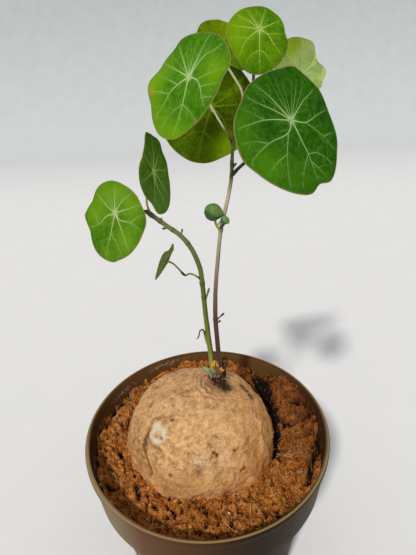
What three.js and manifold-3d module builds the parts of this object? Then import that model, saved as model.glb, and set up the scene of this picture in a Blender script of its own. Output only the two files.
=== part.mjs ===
// A potted Stephania erecta: a nursery pot of coir, a half-buried caudex, two stems and their leaves.
// Millimetres, +Z up, +X to the right and +Y away from the viewer, origin at the centre of the pot's base.
import * as THREE from 'three';
import { mergeVertices } from 'three/addons/utils/BufferGeometryUtils.js';
import Module from 'manifold-3d';

const wasm = await Module();
wasm.setup();

// Clearance between pieces that touch
const CLEARANCE = 0.3;

// Sides of a stem and of the thinner twigs, stalks and roots
const STEM_SIDES = 8;
const TWIG_SIDES = 6;

// Pot
const POT_HEIGHT = 105;
const POT_RIM_RADIUS = 60;
const POT_BAND_FOOT_RADIUS = 57.3;
const POT_STEP_HEIGHT = 81;
const POT_BODY_TOP_RADIUS = 52.6;
const POT_BASE_RADIUS = 42;
const POT_WALL = 1.3;
const POT_FLOOR = 1.8;
const POT_LIP_HEIGHT = 2.2;
const POT_LIP_WIDTH = 0.9;
const POT_EDGE = 0.6;
const POT_SIDES = 48;
const DRAIN_HOLE_RADIUS = 3.5;
const DRAIN_HOLE_CIRCLE = 27;
const DRAIN_HOLES = 8;
const DRAIN_HOLE_SIDES = 12;

// Soil
const SOIL_HEIGHT = 91;
const SOIL_RISE_TO_BACK = 0.1;
const SOIL_RINGS = [0, 24, 32, 36.5, 40, 43.5, 47, 50, 53, 56];
const SOIL_SIDES = 48;
const SOIL_MOUNDS = [
  { at: [46, 26], height: 8.5, reach: 12 },
  { at: [18, 47], height: 2, reach: 12 },
  { at: [-30, -24], height: 3.5, reach: 8 },
  { at: [24, -32], height: 2, reach: 9 },
];
const SOIL_HOLLOWS = [
  { at: [37, 0], depth: 5, reach: 6 },
  { at: [34, 26], depth: 5, reach: 6 },
];

// Caudex, with its crown and roots
const CAUDEX_CENTRE = [-3.8, 4.5, 91.6];
const CAUDEX_RADIUS = 38.1;
const CAUDEX_FLATTENING = 0.9;
const CAUDEX_LUMP = 0.9;
const CAUDEX_SECTORS = 36;
const CAUDEX_TIERS = 20;
const CROWN_KNOB_STRETCH = 1.15;
const CROWN_KNOBS = [
  { at: [5, 8, 129], radius: 2.9 },
  { at: [8.4, 10.6, 129.6], radius: 2.5 },
  { at: [6.4, 7.2, 125.4], radius: 3.5 },
  { at: [6, 6.4, 122.8], radius: 3.2 },
  { at: [9.6, 11.2, 126.2], radius: 2.4 },
  { at: [3.2, 9.6, 125.2], radius: 2.1 },
  { at: [6.5, 7.6, 131.2], radius: 2.0 },
  { at: [8.3, 7.3, 129.4], radius: 2.2 },
];
// Roots leave the caudex's underside at a bearing from +X and turn down
const ROOTS = [
  { bearing: 20, length: 17, radius: 2.0 },
  { bearing: 95, length: 14, radius: 1.5 },
  { bearing: 160, length: 18, radius: 1.8 },
  { bearing: 235, length: 13, radius: 1.4 },
  { bearing: 300, length: 16, radius: 1.7 },
];
const ROOT_START = 9;
const ROOT_STEPS = 6;

// Stems, from the crown up
const STEMS = {
  main_stem: {
    path: [
      [8.2, 10.5, 129.2], [7.7, 10, 134.4], [7.1, 10, 146.6], [6.6, 10, 161], [7.0, 10.4, 173],
      [8.6, 10.4, 190.4], [10.5, 10, 205], [12.4, 10, 212.8], [15, 10, 225], [15.8, 10, 236.5],
      [17.1, 10.6, 242.4], [20.2, 11.6, 246.4], [22.9, 12, 250.4],
    ],
    radii: [1.25, 1.15, 1.08, 1.02, 0.95, 0.97, 0.85, 0.8, 0.75],
    steps: 34,
    spurs: [
      { path: [[7, 10, 159.6], [9.2, 9.5, 162.2], [10.7, 9.1, 163.8]], radius: 0.42 },
      { path: [[7.2, 10, 158], [8.9, 9.2, 159.8]], radius: 0.42 },
      { path: [[15.5, 9.9, 229.4], [17.1, 9.6, 231.6]], radius: 0.42 },
    ],
  },
  side_stem: {
    path: [
      [4.9, 8, 128.4], [4.5, 7.9, 135.7], [3.8, 7.2, 146.8], [2.6, 6.4, 164.4], [1.6, 5.5, 179.9],
      [0.8, 4.7, 189.3], [-2.2, 3.9, 198.7], [-6.1, 3.1, 204.9], [-11.1, 2.2, 209.6],
      [-16.2, 1.4, 214.3], [-18.8, 1, 216.6],
    ],
    radii: [1.25, 1.3, 1.17, 1.08, 1.05, 1.05, 1.0, 0.93, 0.85],
    steps: 30,
    spurs: [
      { path: [[2.2, 5.8, 172.8], [3.5, 5.8, 176.4], [4.3, 6, 179]], radius: 0.5 },
      { path: [[-6, 3.2, 204.8], [-5.4, 3.6, 207.8]], radius: 0.4 },
      { path: [[-10.4, 2.4, 209], [-13.2, 1.5, 209]], radius: 0.4 },
      { path: [[-13.4, 1.9, 211.8], [-13.1, 1.9, 213.4]], radius: 0.45 },
    ],
  },
};

const SPUR_STEPS = 3;
const TIP_TAPER = 0.8;

// Leaves. joint is where the stalk meets the blade; facing is the upper face's bearing (0 towards
// the viewer, 90 to the right) and its tilt above the horizon. outline holds [degrees, radius] pairs
// round the joint, from the blade's own right-hand side, anticlockwise on its upper face. bend is the
// rise of the blade 10 mm off the joint, across and along it; ripple waves its margin.
const LEAVES = {
  leaf_left: {
    joint: [-29.2, -6, 218.6],
    facing: [-30, 20],
    outline: [
      [0, 15], [25, 12.5], [50, 11], [90, 11.5], [130, 13], [160, 11], [180, 13.5], [190, 15],
      [220, 13.5], [250, 18], [270, 18.5], [280, 17.5], [305, 16.5], [335, 14.5],
    ],
    bend: [0.3, -0.2],
    ripple: { folds: 5, height: 0.8, turn: 30 },
    stalk: [[-18.6, 1, 216.4], [-20.6, 0.3, 216.9], [-23.2, -1.4, 217.9], [-26.2, -3.2, 218.3]],
    stalkRadius: 0.6,
    grows: 'side_stem',
  },
  leaf_turned: {
    joint: [-14.1, 0, 231.8],
    facing: [65, 5],
    outline: [
      [0, 9], [35, 10], [50, 12], [75, 12.6], [88, 13.5], [98, 14.2], [107, 11.4], [118, 9.5], [135, 8.5],
      [180, 11.5], [210, 11], [230, 11], [245, 12], [260, 15.5], [290, 16], [325, 12], [340, 10],
    ],
    bend: [0.4, 0.1],
    ripple: { folds: 4, height: 0.4, turn: 80 },
    stalk: [[-16.8, 1.3, 214.8], [-17.9, 1.2, 217.6], [-18.6, 1, 220.2], [-17.8, 1.1, 224], [-17, 1.4, 228]],
    stalkRadius: 0.55,
    grows: 'side_stem',
  },
  leaf_small: {
    joint: [-12.5, 3, 194.2],
    facing: [-88, 30],
    outline: [
      [0, 5.6], [45, 5.9], [75, 5.7], [100, 6.3], [115, 7.6], [127, 5.7], [142, 4.8], [160, 5.3],
      [180, 6.2], [225, 8], [270, 9.8], [315, 7.7],
    ],
    bend: [5.2, 0.8],
    ripple: { folds: 3, height: 0.3, turn: 0 },
    stalk: [[0.9, 5.1, 183.9], [-0.6, 5, 185.3], [-3.6, 4.6, 187.1], [-5.6, 4.3, 186.6], [-8, 3.7, 189.8]],
    stalkRadius: 0.45,
    grows: 'side_stem',
  },
  leaf_front_left: {
    joint: [0.9, -6, 262.8],
    facing: [-42, 30],
    outline: [
      [0, 13.8], [25, 15.5], [65, 15], [90, 15.5], [125, 15], [137, 14.5], [155, 16.3], [170, 16.5],
      [185, 18.5], [210, 17.5], [230, 19.5], [270, 20.5], [295, 16.5], [315, 15], [340, 15],
    ],
    bend: [-0.2, -0.3],
    ripple: { folds: 5, height: 0.8, turn: 200 },
    stalk: [[16.5, 10.3, 240.2], [14, 8, 242.8], [11.7, 6.4, 246.3], [8.1, 3.6, 252.7], [5.5, -0.2, 256.9]],
    stalkRadius: 0.6,
    grows: 'main_stem',
  },
  leaf_back_left: {
    joint: [8.7, 26, 251.1],
    facing: [175, 12],
    outline: [
      [0, 19.5], [60, 17], [110, 18], [145, 17.5], [180, 18.5], [215, 20], [240, 20.7], [262, 21.5],
      [280, 23.4], [300, 24.8], [330, 23.5],
    ],
    bend: [0.2, -0.3],
    ripple: { folds: 6, height: 0.7, turn: 60 },
    stalk: [[15.8, 10.1, 238.2], [14.2, 11.8, 242.2], [12.2, 14.6, 245.6], [10.2, 19, 248.4]],
    stalkRadius: 0.6,
    grows: 'main_stem',
  },
  leaf_back_top: {
    joint: [11.1, 16, 272],
    facing: [190, 20],
    outline: [
      [0, 8.2], [33, 8.6], [52, 9.5], [85, 8.5], [115, 8.1], [160, 10.5], [195, 12.5], [218, 14.5],
      [231, 8.8], [270, 9], [320, 8.5],
    ],
    bend: [0.6, -0.6],
    ripple: { folds: 4, height: 0.5, turn: 20 },
    stalk: [
      [19.5, 11.4, 245.6], [19.5, 12, 250], [19.9, 12, 254], [19.6, 12.1, 257], [17.5, 12.5, 260.7],
      [14.8, 13.3, 264.9], [12.8, 13.7, 268.4],
    ],
    stalkRadius: 0.55,
    grows: 'main_stem',
  },
  leaf_top: {
    joint: [25.6, 10, 276.2],
    facing: [12, 20],
    outline: [
      [0, 9], [25, 8.8], [55, 7.5], [90, 7.5], [130, 8.5], [180, 11.7], [225, 13], [250, 14.7],
      [270, 14.5], [305, 12.5], [330, 11.5], [350, 9.2],
    ],
    bend: [-0.3, -0.3],
    ripple: { folds: 5, height: 0.4, turn: 120 },
    stalk: [[22.9, 12, 250.2], [23.3, 12, 254], [23.8, 11.9, 260.5], [24.4, 12.2, 269]],
    stalkRadius: 0.55,
    grows: 'main_stem',
  },
  leaf_back_right: {
    joint: [45, 28, 261.3],
    facing: [195, 25],
    outline: [
      [0, 12.5], [30, 15], [55, 16.5], [80, 13.9], [102, 10.8], [120, 8], [135, 7.1], [158, 8.4],
      [178, 10.6], [195, 9.7], [211, 11], [250, 12], [300, 13],
    ],
    bend: [-0.4, -0.5],
    ripple: { folds: 6, height: 1, turn: 150 },
    stalk: [[21.2, 11.8, 247.8], [24.4, 13.8, 249.2], [32, 17.8, 252.4], [39, 21.5, 255.8]],
    stalkRadius: 0.55,
    grows: 'main_stem',
  },
  leaf_front_right: {
    joint: [33.9, -10, 248.6],
    facing: [25, 25],
    outline: [
      [0, 18], [40, 16.5], [55, 17.5], [70, 19.5], [90, 17.5], [110, 17], [135, 18], [155, 18.3],
      [180, 21.5], [205, 22.5], [225, 21.7], [265, 24.3], [279, 24.9], [290, 23.3], [302, 25.1], [325, 20.2],
    ],
    bend: [-0.35, -0.3],
    ripple: { folds: 5, height: 0.9, turn: 250 },
    stalk: [[15.6, 9.9, 227.2], [17.8, 7.6, 230], [22, 3.6, 234.6], [28, -2.5, 241.6]],
    stalkRadius: 0.65,
    grows: 'main_stem',
  },
};
const BLADE_THICKNESS = 0.7;
const BLADE_RINGS = [0, 0.35, 0.7, 1];
const BLADE_SECTORS = 32;
const STALK_STEPS = 11;
const STALK_LEAD = 2.5;
const STALK_SWELL = 1.25;

// Young leaves, folded shut
const YOUNG_LEAVES = {
  young_leaf_large: {
    at: [7.6, 7, 212.7],
    half: [3.9, 2.6, 3.5],
    roll: 38,
    stalk: [[10.3, 10, 203.6], [9.4, 8.6, 205.2], [8.2, 7.6, 208], [8, 7.2, 210.4]],
  },
  young_leaf_small: {
    at: [11.9, 4, 210.1],
    half: [1.9, 1.4, 1.8],
    roll: 60,
    stalk: [[10.4, 9.8, 204.8], [10.4, 7.4, 206.4], [11.2, 5.2, 208], [11.8, 4.2, 209.4]],
  },
};
const YOUNG_STALK_RADIUS = 0.5;
const POD_SECTORS = 14;
const POD_TIERS = 10;

// Small shoots
const SHOOT_STEPS = 6;
const CURL_STEPS = 9;
const WITHERED_SHOOT = {
  green: [[3.6, 7.2, 145.6], [1.6, 7.2, 150], [0.4, 6.2, 156.6]],
  greenRadius: 0.65,
  tip: [[0.4, 6.2, 156.4], [-0.4, 5.9, 157.6], [-1.2, 5.6, 156.8], [-1.6, 5.3, 154.8], [-2.8, 5, 152.7]],
  tipRadius: 0.4,
};
const CROWN_SPROUT = {
  path: [[3.6, 6.2, 128.4], [2.8, 5.2, 131.4], [2, 5, 133.9], [0.6, 4.9, 135.4], [-0.6, 4.9, 136.1]],
  radius: 0.7,
};

const FINISHES = {
  pot: { color: 0x4a4230, roughness: 0.55 },
  soil: { color: 0x7a3f1e, roughness: 0.95 },
  caudex: { color: 0xb58a5c, roughness: 0.9 },
  main_stem: { color: 0x6f6350, roughness: 0.6 },
  side_stem: { color: 0x66802e, roughness: 0.6 },
  leaf: { color: 0x4f9a1f, roughness: 0.5 },
  youngLeaf: { color: 0x2f6b34, roughness: 0.5 },
  withered: { color: 0x6c7a35, roughness: 0.8 },
  sprout: { color: 0x8fc79a, roughness: 0.6 },
};

const vector = (point) => new THREE.Vector3(...point);
const radians = THREE.MathUtils.degToRad;

// Leaves only positions and an index, with the seam's vertices joined and collapsed faces dropped
function weld(geometry, tolerance = 1e-4) {
  const bare = geometry.clone();
  bare.deleteAttribute('normal');
  bare.deleteAttribute('uv');
  bare.clearGroups();
  const merged = mergeVertices(bare, tolerance);
  const corners = Array.from(merged.index.array);
  const kept = [];
  for (let i = 0; i < corners.length; i += 3) {
    const [a, b, c] = corners.slice(i, i + 3);
    if (a !== b && b !== c && c !== a) kept.push(a, b, c);
  }
  merged.setIndex(kept);
  return merged;
}

function solidOf(geometry) {
  const closed = weld(geometry);
  const mesh = new wasm.Mesh({
    numProp: 3,
    vertProperties: new Float32Array(closed.attributes.position.array),
    triVerts: new Uint32Array(closed.index.array),
  });
  return new wasm.Manifold(mesh);
}

function geometryOf(solid) {
  const { vertProperties, triVerts } = solid.getMesh();
  const geometry = new THREE.BufferGeometry();
  geometry.setAttribute('position', new THREE.BufferAttribute(vertProperties, 3));
  geometry.setIndex(new THREE.BufferAttribute(triVerts, 1));
  return geometry;
}

const fuse = (solids) => solids.reduce((whole, solid) => whole.add(solid));

// Straight-line reading of evenly spaced values, t from 0 to 1
function alongList(values, t) {
  const place = THREE.MathUtils.clamp(t, 0, 1) * (values.length - 1);
  const i = Math.min(Math.floor(place), values.length - 2);
  return THREE.MathUtils.lerp(values[i], values[i + 1], place - i);
}

// A round tube along the points, its radius read from start to end
function tube(points, radii, steps, sides) {
  const slim = 0.1;
  const path = new THREE.CatmullRomCurve3(points.map(vector));
  const section = new THREE.Shape().absarc(0, 0, slim, 0, 2 * Math.PI);
  const geometry = weld(
    new THREE.ExtrudeGeometry(section, { steps, curveSegments: sides / 2, extrudePath: path }),
    1e-5,
  );
  const stations = path.getSpacedPoints(steps);
  const position = geometry.attributes.position;
  const vertex = new THREE.Vector3();
  for (let i = 0; i < position.count; i += 1) {
    vertex.fromBufferAttribute(position, i);
    const gaps = stations.map((station) => station.distanceToSquared(vertex));
    const nearest = gaps.indexOf(Math.min(...gaps));
    const swell = alongList(radii, nearest / steps) / slim;
    vertex.sub(stations[nearest]).multiplyScalar(swell).add(stations[nearest]);
    position.setXYZ(i, vertex.x, vertex.y, vertex.z);
  }
  return solidOf(geometry);
}

// Pot

function potSolid() {
  const bandInner = POT_BAND_FOOT_RADIUS - POT_WALL;
  const bodyInner = POT_BODY_TOP_RADIUS - POT_WALL;
  const lipInner = POT_RIM_RADIUS - POT_LIP_WIDTH - POT_EDGE;
  const profile = [
    [0, 0],
    [POT_BASE_RADIUS - POT_EDGE, 0],
    [POT_BASE_RADIUS, POT_EDGE],
    [POT_BODY_TOP_RADIUS, POT_STEP_HEIGHT - 2 * POT_EDGE],
    [POT_BAND_FOOT_RADIUS - POT_EDGE, POT_STEP_HEIGHT],
    [POT_BAND_FOOT_RADIUS, POT_STEP_HEIGHT + POT_EDGE],
    [POT_RIM_RADIUS - POT_LIP_WIDTH, POT_HEIGHT - POT_LIP_HEIGHT - POT_EDGE],
    [POT_RIM_RADIUS, POT_HEIGHT - POT_LIP_HEIGHT],
    [POT_RIM_RADIUS, POT_HEIGHT - POT_EDGE],
    [POT_RIM_RADIUS - POT_EDGE, POT_HEIGHT],
    [lipInner, POT_HEIGHT],
    [lipInner - POT_EDGE, POT_HEIGHT - POT_EDGE],
    [bandInner, POT_STEP_HEIGHT + 3 * POT_EDGE],
    [bandInner - POT_EDGE, POT_STEP_HEIGHT + 2 * POT_EDGE],
    [bodyInner, POT_STEP_HEIGHT],
    [bodyInner, POT_STEP_HEIGHT - 2 * POT_EDGE],
    [POT_BASE_RADIUS - POT_WALL, POT_FLOOR],
    [0, POT_FLOOR],
  ].map(([radius, height]) => new THREE.Vector2(radius, height));
  const turned = new THREE.LatheGeometry(profile, POT_SIDES).rotateX(Math.PI / 2);
  const holes = [];
  for (let i = 0; i < DRAIN_HOLES; i += 1) {
    const angle = (2 * Math.PI * i) / DRAIN_HOLES;
    const hole = new THREE.CylinderGeometry(
      DRAIN_HOLE_RADIUS, DRAIN_HOLE_RADIUS, 4 * POT_FLOOR, DRAIN_HOLE_SIDES);
    hole.rotateX(Math.PI / 2);
    hole.translate(DRAIN_HOLE_CIRCLE * Math.cos(angle), DRAIN_HOLE_CIRCLE * Math.sin(angle), 0);
    holes.push(solidOf(hole));
  }
  return solidOf(turned).subtract(fuse(holes));
}

// Caudex

// Height of the cork's lumps over the smooth form, for a direction from the centre
function corkLump(direction) {
  const { x, y, z } = direction;
  const broad = Math.sin(5.1 * x + 1.3) * Math.cos(4.3 * y - 0.4) + 0.8 * Math.sin(6.2 * z + 3.1 * x);
  const fine = Math.sin(13 * x + 7 * z) * Math.sin(11 * y - 5 * z + 2);
  return CAUDEX_LUMP * (0.6 * broad + 0.35 * fine);
}

function tuber(clearance) {
  const geometry = weld(new THREE.SphereGeometry(1, CAUDEX_SECTORS, CAUDEX_TIERS).rotateX(Math.PI / 2));
  const position = geometry.attributes.position;
  const direction = new THREE.Vector3();
  for (let i = 0; i < position.count; i += 1) {
    direction.fromBufferAttribute(position, i).normalize();
    const radius = CAUDEX_RADIUS + corkLump(direction) + clearance;
    direction.multiplyScalar(radius);
    position.setXYZ(i, direction.x, direction.y, direction.z * CAUDEX_FLATTENING);
  }
  return solidOf(geometry.translate(...CAUDEX_CENTRE));
}

function rootTubes(clearance) {
  const [cx, cy, cz] = CAUDEX_CENTRE;
  const foot = cz - CAUDEX_RADIUS * CAUDEX_FLATTENING;
  return ROOTS.map(({ bearing, length, radius }) => {
    const east = Math.cos(radians(bearing));
    const north = Math.sin(radians(bearing));
    const point = (out, down) => [cx + east * out, cy + north * out, foot + down];
    const path = [
      point(ROOT_START, 8),
      point(ROOT_START + 3, 0),
      point(ROOT_START + 3 + 0.5 * length, -0.5 * length),
      point(ROOT_START + 3 + 0.6 * length, -length),
    ];
    const radii = [radius, radius, 0.7 * radius, 0.45 * radius].map((value) => value + clearance);
    return tube(path, radii, ROOT_STEPS, TWIG_SIDES);
  });
}

function crownKnobs() {
  return CROWN_KNOBS.map(({ at, radius }) => {
    const knob = new THREE.IcosahedronGeometry(radius, 1);
    knob.scale(1, 1, CROWN_KNOB_STRETCH);
    return solidOf(knob.translate(...at));
  });
}

function caudexSolid() {
  const whole = fuse([tuber(0), ...rootTubes(0), ...crownKnobs()]);
  const sockets = ['main_stem', 'side_stem'].map((name) => stemTube(name, CLEARANCE));
  return whole.subtract(fuse([...sockets, sproutTube(CLEARANCE)]));
}

// Soil

// Height of the coir: higher towards the back, with mounds, hollows and crumbs
function soilSurface(x, y) {
  const bell = ([cx, cy], reach) => Math.exp(-((x - cx) ** 2 + (y - cy) ** 2) / reach ** 2);
  const slope = SOIL_RISE_TO_BACK * Math.max(0, y);
  const mounds = SOIL_MOUNDS.reduce((sum, { at, height, reach }) => sum + height * bell(at, reach), 0);
  const hollows = SOIL_HOLLOWS.reduce((sum, { at, depth, reach }) => sum + depth * bell(at, reach), 0);
  const clods = 0.8 * Math.sin(0.42 * x + 0.9) * Math.cos(0.37 * y - 0.5);
  const crumbs = 0.5 * Math.sin(0.95 * x + 0.5 * y) * Math.cos(1.1 * y - 0.35 * x);
  return SOIL_HEIGHT + slope + mounds - hollows + clods + crumbs;
}

function soilSolid() {
  const inset = POT_WALL + 1.5 * CLEARANCE;
  const wall = [
    [0, POT_FLOOR + CLEARANCE],
    [POT_BASE_RADIUS - inset, POT_FLOOR + CLEARANCE],
    [POT_BODY_TOP_RADIUS - inset - CLEARANCE, POT_STEP_HEIGHT - 2],
    [POT_BODY_TOP_RADIUS - inset - CLEARANCE, POT_STEP_HEIGHT + 1.2],
    [POT_BAND_FOOT_RADIUS - inset - 1.3, POT_STEP_HEIGHT + 2.4],
    [POT_BAND_FOOT_RADIUS - inset, POT_STEP_HEIGHT + 3.4],
  ];
  const top = SOIL_RINGS.map((radius) => [radius, SOIL_HEIGHT]).reverse();
  const profile = [...wall, ...top].map(([radius, height]) => new THREE.Vector2(radius, height));
  const body = weld(new THREE.LatheGeometry(profile, SOIL_SIDES).rotateX(Math.PI / 2));
  const position = body.attributes.position;
  for (let i = 0; i < position.count; i += 1) {
    if (Math.abs(position.getZ(i) - SOIL_HEIGHT) < 0.01) {
      position.setZ(i, soilSurface(position.getX(i), position.getY(i)));
    }
  }
  const seat = fuse([tuber(1.3 * CLEARANCE), ...rootTubes(CLEARANCE)]);
  return solidOf(body).subtract(seat);
}

// Stems

function stemTube(name, clearance = 0) {
  const { path, radii, steps } = STEMS[name];
  return tube(path, radii.map((radius) => radius + clearance), steps, STEM_SIDES);
}

function stemSolid(name) {
  const spurs = STEMS[name].spurs.map(({ path, radius }) => (
    tube(path, [radius, TIP_TAPER * radius], SPUR_STEPS, TWIG_SIDES)
  ));
  return fuse([stemTube(name), ...spurs]);
}

// Leaves

// Outline radius at an angle, a smooth closed curve through the outline's pairs
function outlineRadius(outline, degrees) {
  const count = outline.length;
  const pair = (i) => {
    const [angle, radius] = outline[((i % count) + count) % count];
    return [angle + 360 * Math.floor(i / count), radius];
  };
  let i = count - 1;
  while (outline[i][0] > degrees) i -= 1;
  const [[a0, r0], [a1, r1], [a2, r2], [a3, r3]] = [pair(i - 1), pair(i), pair(i + 1), pair(i + 2)];
  const span = a2 - a1;
  const t = (degrees - a1) / span;
  const slope1 = (span * (r2 - r0)) / (a2 - a0);
  const slope2 = (span * (r3 - r1)) / (a3 - a1);
  return (2 * t ** 3 - 3 * t ** 2 + 1) * r1 + (t ** 3 - 2 * t ** 2 + t) * slope1
    + (3 * t ** 2 - 2 * t ** 3) * r2 + (t ** 3 - t ** 2) * slope2;
}

// Gives an open sheet a thickness along z, split alike on both faces and closed round its margin
function thicken(sheet, thickness) {
  const points = sheet.attributes.position;
  const corners = Array.from(sheet.index.array);
  const count = points.count;
  const coordinates = [];
  for (const side of [0.5, -0.5]) {
    for (let i = 0; i < count; i += 1) {
      coordinates.push(points.getX(i), points.getY(i), points.getZ(i) + side * thickness);
    }
  }
  const faces = [];
  const edges = new Set();
  for (let i = 0; i < corners.length; i += 3) {
    const [a, b, c] = corners.slice(i, i + 3);
    faces.push(a, b, c, c + count, b + count, a + count);
    for (const [from, to] of [[a, b], [b, c], [c, a]]) edges.add(`${from} ${to}`);
  }
  for (const edge of edges) {
    const [from, to] = edge.split(' ').map(Number);
    if (!edges.has(`${to} ${from}`)) {
      faces.push(from, from + count, to + count, from, to + count, to);
    }
  }
  const closed = new THREE.BufferGeometry();
  closed.setAttribute('position', new THREE.Float32BufferAttribute(coordinates, 3));
  closed.setIndex(faces);
  return closed;
}

// A blade in its own frame: the joint at the origin, the upper face towards +z, its top towards +y
function bladeGeometry({ outline, bend, ripple }) {
  const rings = BLADE_RINGS.map((share) => new THREE.Vector2(share, 0));
  const disc = weld(new THREE.LatheGeometry(rings, BLADE_SECTORS).rotateX(Math.PI / 2));
  const position = disc.attributes.position;
  for (let i = 0; i < position.count; i += 1) {
    const share = Math.hypot(position.getX(i), position.getY(i));
    const angle = Math.atan2(position.getY(i), position.getX(i));
    const degrees = (THREE.MathUtils.radToDeg(angle) + 360) % 360;
    const radius = share * outlineRadius(outline, degrees);
    const x = radius * Math.cos(angle);
    const y = radius * Math.sin(angle);
    const wave = ripple.height * share ** 3 * Math.sin(ripple.folds * angle + radians(ripple.turn));
    position.setXYZ(i, x, y, bend[0] * (x / 10) ** 2 + bend[1] * (y / 10) ** 2 + wave);
  }
  const firstFace = new THREE.Triangle();
  firstFace.setFromAttributeAndIndices(position, ...Array.from(disc.index.array).slice(0, 3));
  if (firstFace.getNormal(new THREE.Vector3()).z < 0) disc.index.array.reverse();
  return thicken(disc, BLADE_THICKNESS);
}

// Turns the blade's frame to its facing and carries it to the joint
function leafMatrix({ joint, facing: [bearing, tilt] }) {
  const [turn, rise] = [radians(bearing), radians(tilt)];
  const normal = new THREE.Vector3(
    Math.sin(turn) * Math.cos(rise), -Math.cos(turn) * Math.cos(rise), Math.sin(rise));
  const up = new THREE.Vector3(0, 0, 1).addScaledVector(normal, -normal.z).normalize();
  const side = new THREE.Vector3().crossVectors(up, normal);
  return new THREE.Matrix4().makeBasis(side, up, normal).setPosition(...joint);
}

function leafSolid(leaf) {
  const frame = leafMatrix(leaf);
  const blade = solidOf(bladeGeometry(leaf).applyMatrix4(frame));
  const lead = new THREE.Vector3(0, 0, -STALK_LEAD).applyMatrix4(frame).toArray();
  const path = [...leaf.stalk, lead, leaf.joint];
  const radius = leaf.stalkRadius;
  const stalk = tube(path, [STALK_SWELL * radius, radius, radius, radius], STALK_STEPS, TWIG_SIDES);
  return blade.add(stalk).subtract(stemTube(leaf.grows, CLEARANCE));
}

function youngLeafSolid({ at, half, roll, stalk }) {
  const pod = new THREE.SphereGeometry(1, POD_SECTORS, POD_TIERS);
  pod.scale(...half);
  pod.rotateY(radians(roll));
  pod.translate(...at);
  const stem = tube(stalk, [YOUNG_STALK_RADIUS, YOUNG_STALK_RADIUS], SHOOT_STEPS, TWIG_SIDES);
  return solidOf(pod).add(stem).subtract(stemTube('main_stem', CLEARANCE));
}

// Small shoots

function witheredShootSolid() {
  const { green, greenRadius, tip, tipRadius } = WITHERED_SHOOT;
  const shoot = tube(green, [greenRadius, TIP_TAPER * greenRadius], SHOOT_STEPS, TWIG_SIDES);
  const curl = tube(tip, [tipRadius, tipRadius, TIP_TAPER * tipRadius], CURL_STEPS, TWIG_SIDES);
  return shoot.add(curl).subtract(stemTube('side_stem', CLEARANCE));
}

function sproutTube(clearance = 0) {
  const { path, radius } = CROWN_SPROUT;
  const radii = [radius, TIP_TAPER * radius].map((value) => value + clearance);
  return tube(path, radii, CURL_STEPS, TWIG_SIDES);
}

function crownSproutSolid() {
  return sproutTube().subtract(stemTube('side_stem', CLEARANCE));
}

// Assembly

function mesh(name, solid, finish) {
  const made = new THREE.Mesh(geometryOf(solid), new THREE.MeshStandardMaterial({ ...finish, metalness: 0 }));
  made.name = name;
  return made;
}

// A mesh whose own origin is the point that it grows from or turns about
function meshAbout(point, name, solid, finish) {
  const made = mesh(name, solid, finish);
  made.geometry.translate(...point.map((value) => -value));
  made.position.set(...point);
  return made;
}

const pottedPlant = new THREE.Group();

const potAndSoil = new THREE.Group();
potAndSoil.add(mesh('pot', potSolid(), FINISHES.pot));
potAndSoil.add(mesh('soil', soilSolid(), FINISHES.soil));
pottedPlant.add(potAndSoil);

const plant = new THREE.Group();
plant.add(meshAbout(CAUDEX_CENTRE, 'caudex', caudexSolid(), FINISHES.caudex));
for (const name of Object.keys(STEMS)) {
  plant.add(meshAbout(STEMS[name].path[0], name, stemSolid(name), FINISHES[name]));
}
for (const [name, leaf] of Object.entries(LEAVES)) {
  plant.add(meshAbout(leaf.joint, name, leafSolid(leaf), FINISHES.leaf));
}
for (const [name, leaf] of Object.entries(YOUNG_LEAVES)) {
  plant.add(meshAbout(leaf.at, name, youngLeafSolid(leaf), FINISHES.youngLeaf));
}
plant.add(meshAbout(WITHERED_SHOOT.green[0], 'withered_shoot', witheredShootSolid(), FINISHES.withered));
plant.add(meshAbout(CROWN_SPROUT.path[0], 'crown_sprout', crownSproutSolid(), FINISHES.sprout));
pottedPlant.add(plant);

export default pottedPlant;
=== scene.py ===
"""Looks of a potted Stephania erecta: leaves, stems, corky tuber, coir and nursery pot."""

import logging
from dataclasses import dataclass
from enum import Enum
from math import atan2, cos, exp, hypot, pi, radians, sin, sqrt
from random import Random
from typing import Callable, Iterable, Sequence

import bmesh
import bpy
import numpy as np
from bmesh.types import BMesh, BMVert
from bpy.types import Material, NodeSocket, Object
from mathutils import Matrix, Vector, noise

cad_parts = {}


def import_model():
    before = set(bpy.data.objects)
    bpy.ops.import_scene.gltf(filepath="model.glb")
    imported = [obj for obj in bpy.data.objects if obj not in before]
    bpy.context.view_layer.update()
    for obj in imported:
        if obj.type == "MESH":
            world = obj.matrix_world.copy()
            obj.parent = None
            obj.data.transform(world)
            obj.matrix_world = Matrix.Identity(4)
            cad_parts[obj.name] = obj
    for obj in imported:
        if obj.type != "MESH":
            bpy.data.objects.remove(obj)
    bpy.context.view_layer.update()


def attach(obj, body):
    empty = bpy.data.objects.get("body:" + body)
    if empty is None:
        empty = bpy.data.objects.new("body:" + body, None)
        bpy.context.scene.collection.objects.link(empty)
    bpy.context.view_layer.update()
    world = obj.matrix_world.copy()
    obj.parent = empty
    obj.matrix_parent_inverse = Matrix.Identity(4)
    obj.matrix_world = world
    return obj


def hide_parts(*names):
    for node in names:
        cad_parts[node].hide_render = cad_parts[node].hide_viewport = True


LOG = logging.getLogger("potted_stephania")

MM = 0.001
BODY = "root"
FIRST_LEAF_SEED = 100

Pair = tuple[float, float]
Point = tuple[float, float, float]
Colour = tuple[float, float, float]
Stops = tuple[tuple[float, Colour], ...]


class Slot(Enum):
    """The record's material slots."""

    POT = "pot_plastic"
    COIR = "coir"
    CORK = "cork"
    STEM_BROWN = "stem_brown"
    STEM_GREEN = "stem_green"
    LEAF_BRIGHT = "leaf_bright"
    LEAF_DARK = "leaf_dark"
    LEAF_UNDERSIDE = "leaf_underside"
    SPROUT = "sprout"


# Shader maths


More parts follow.
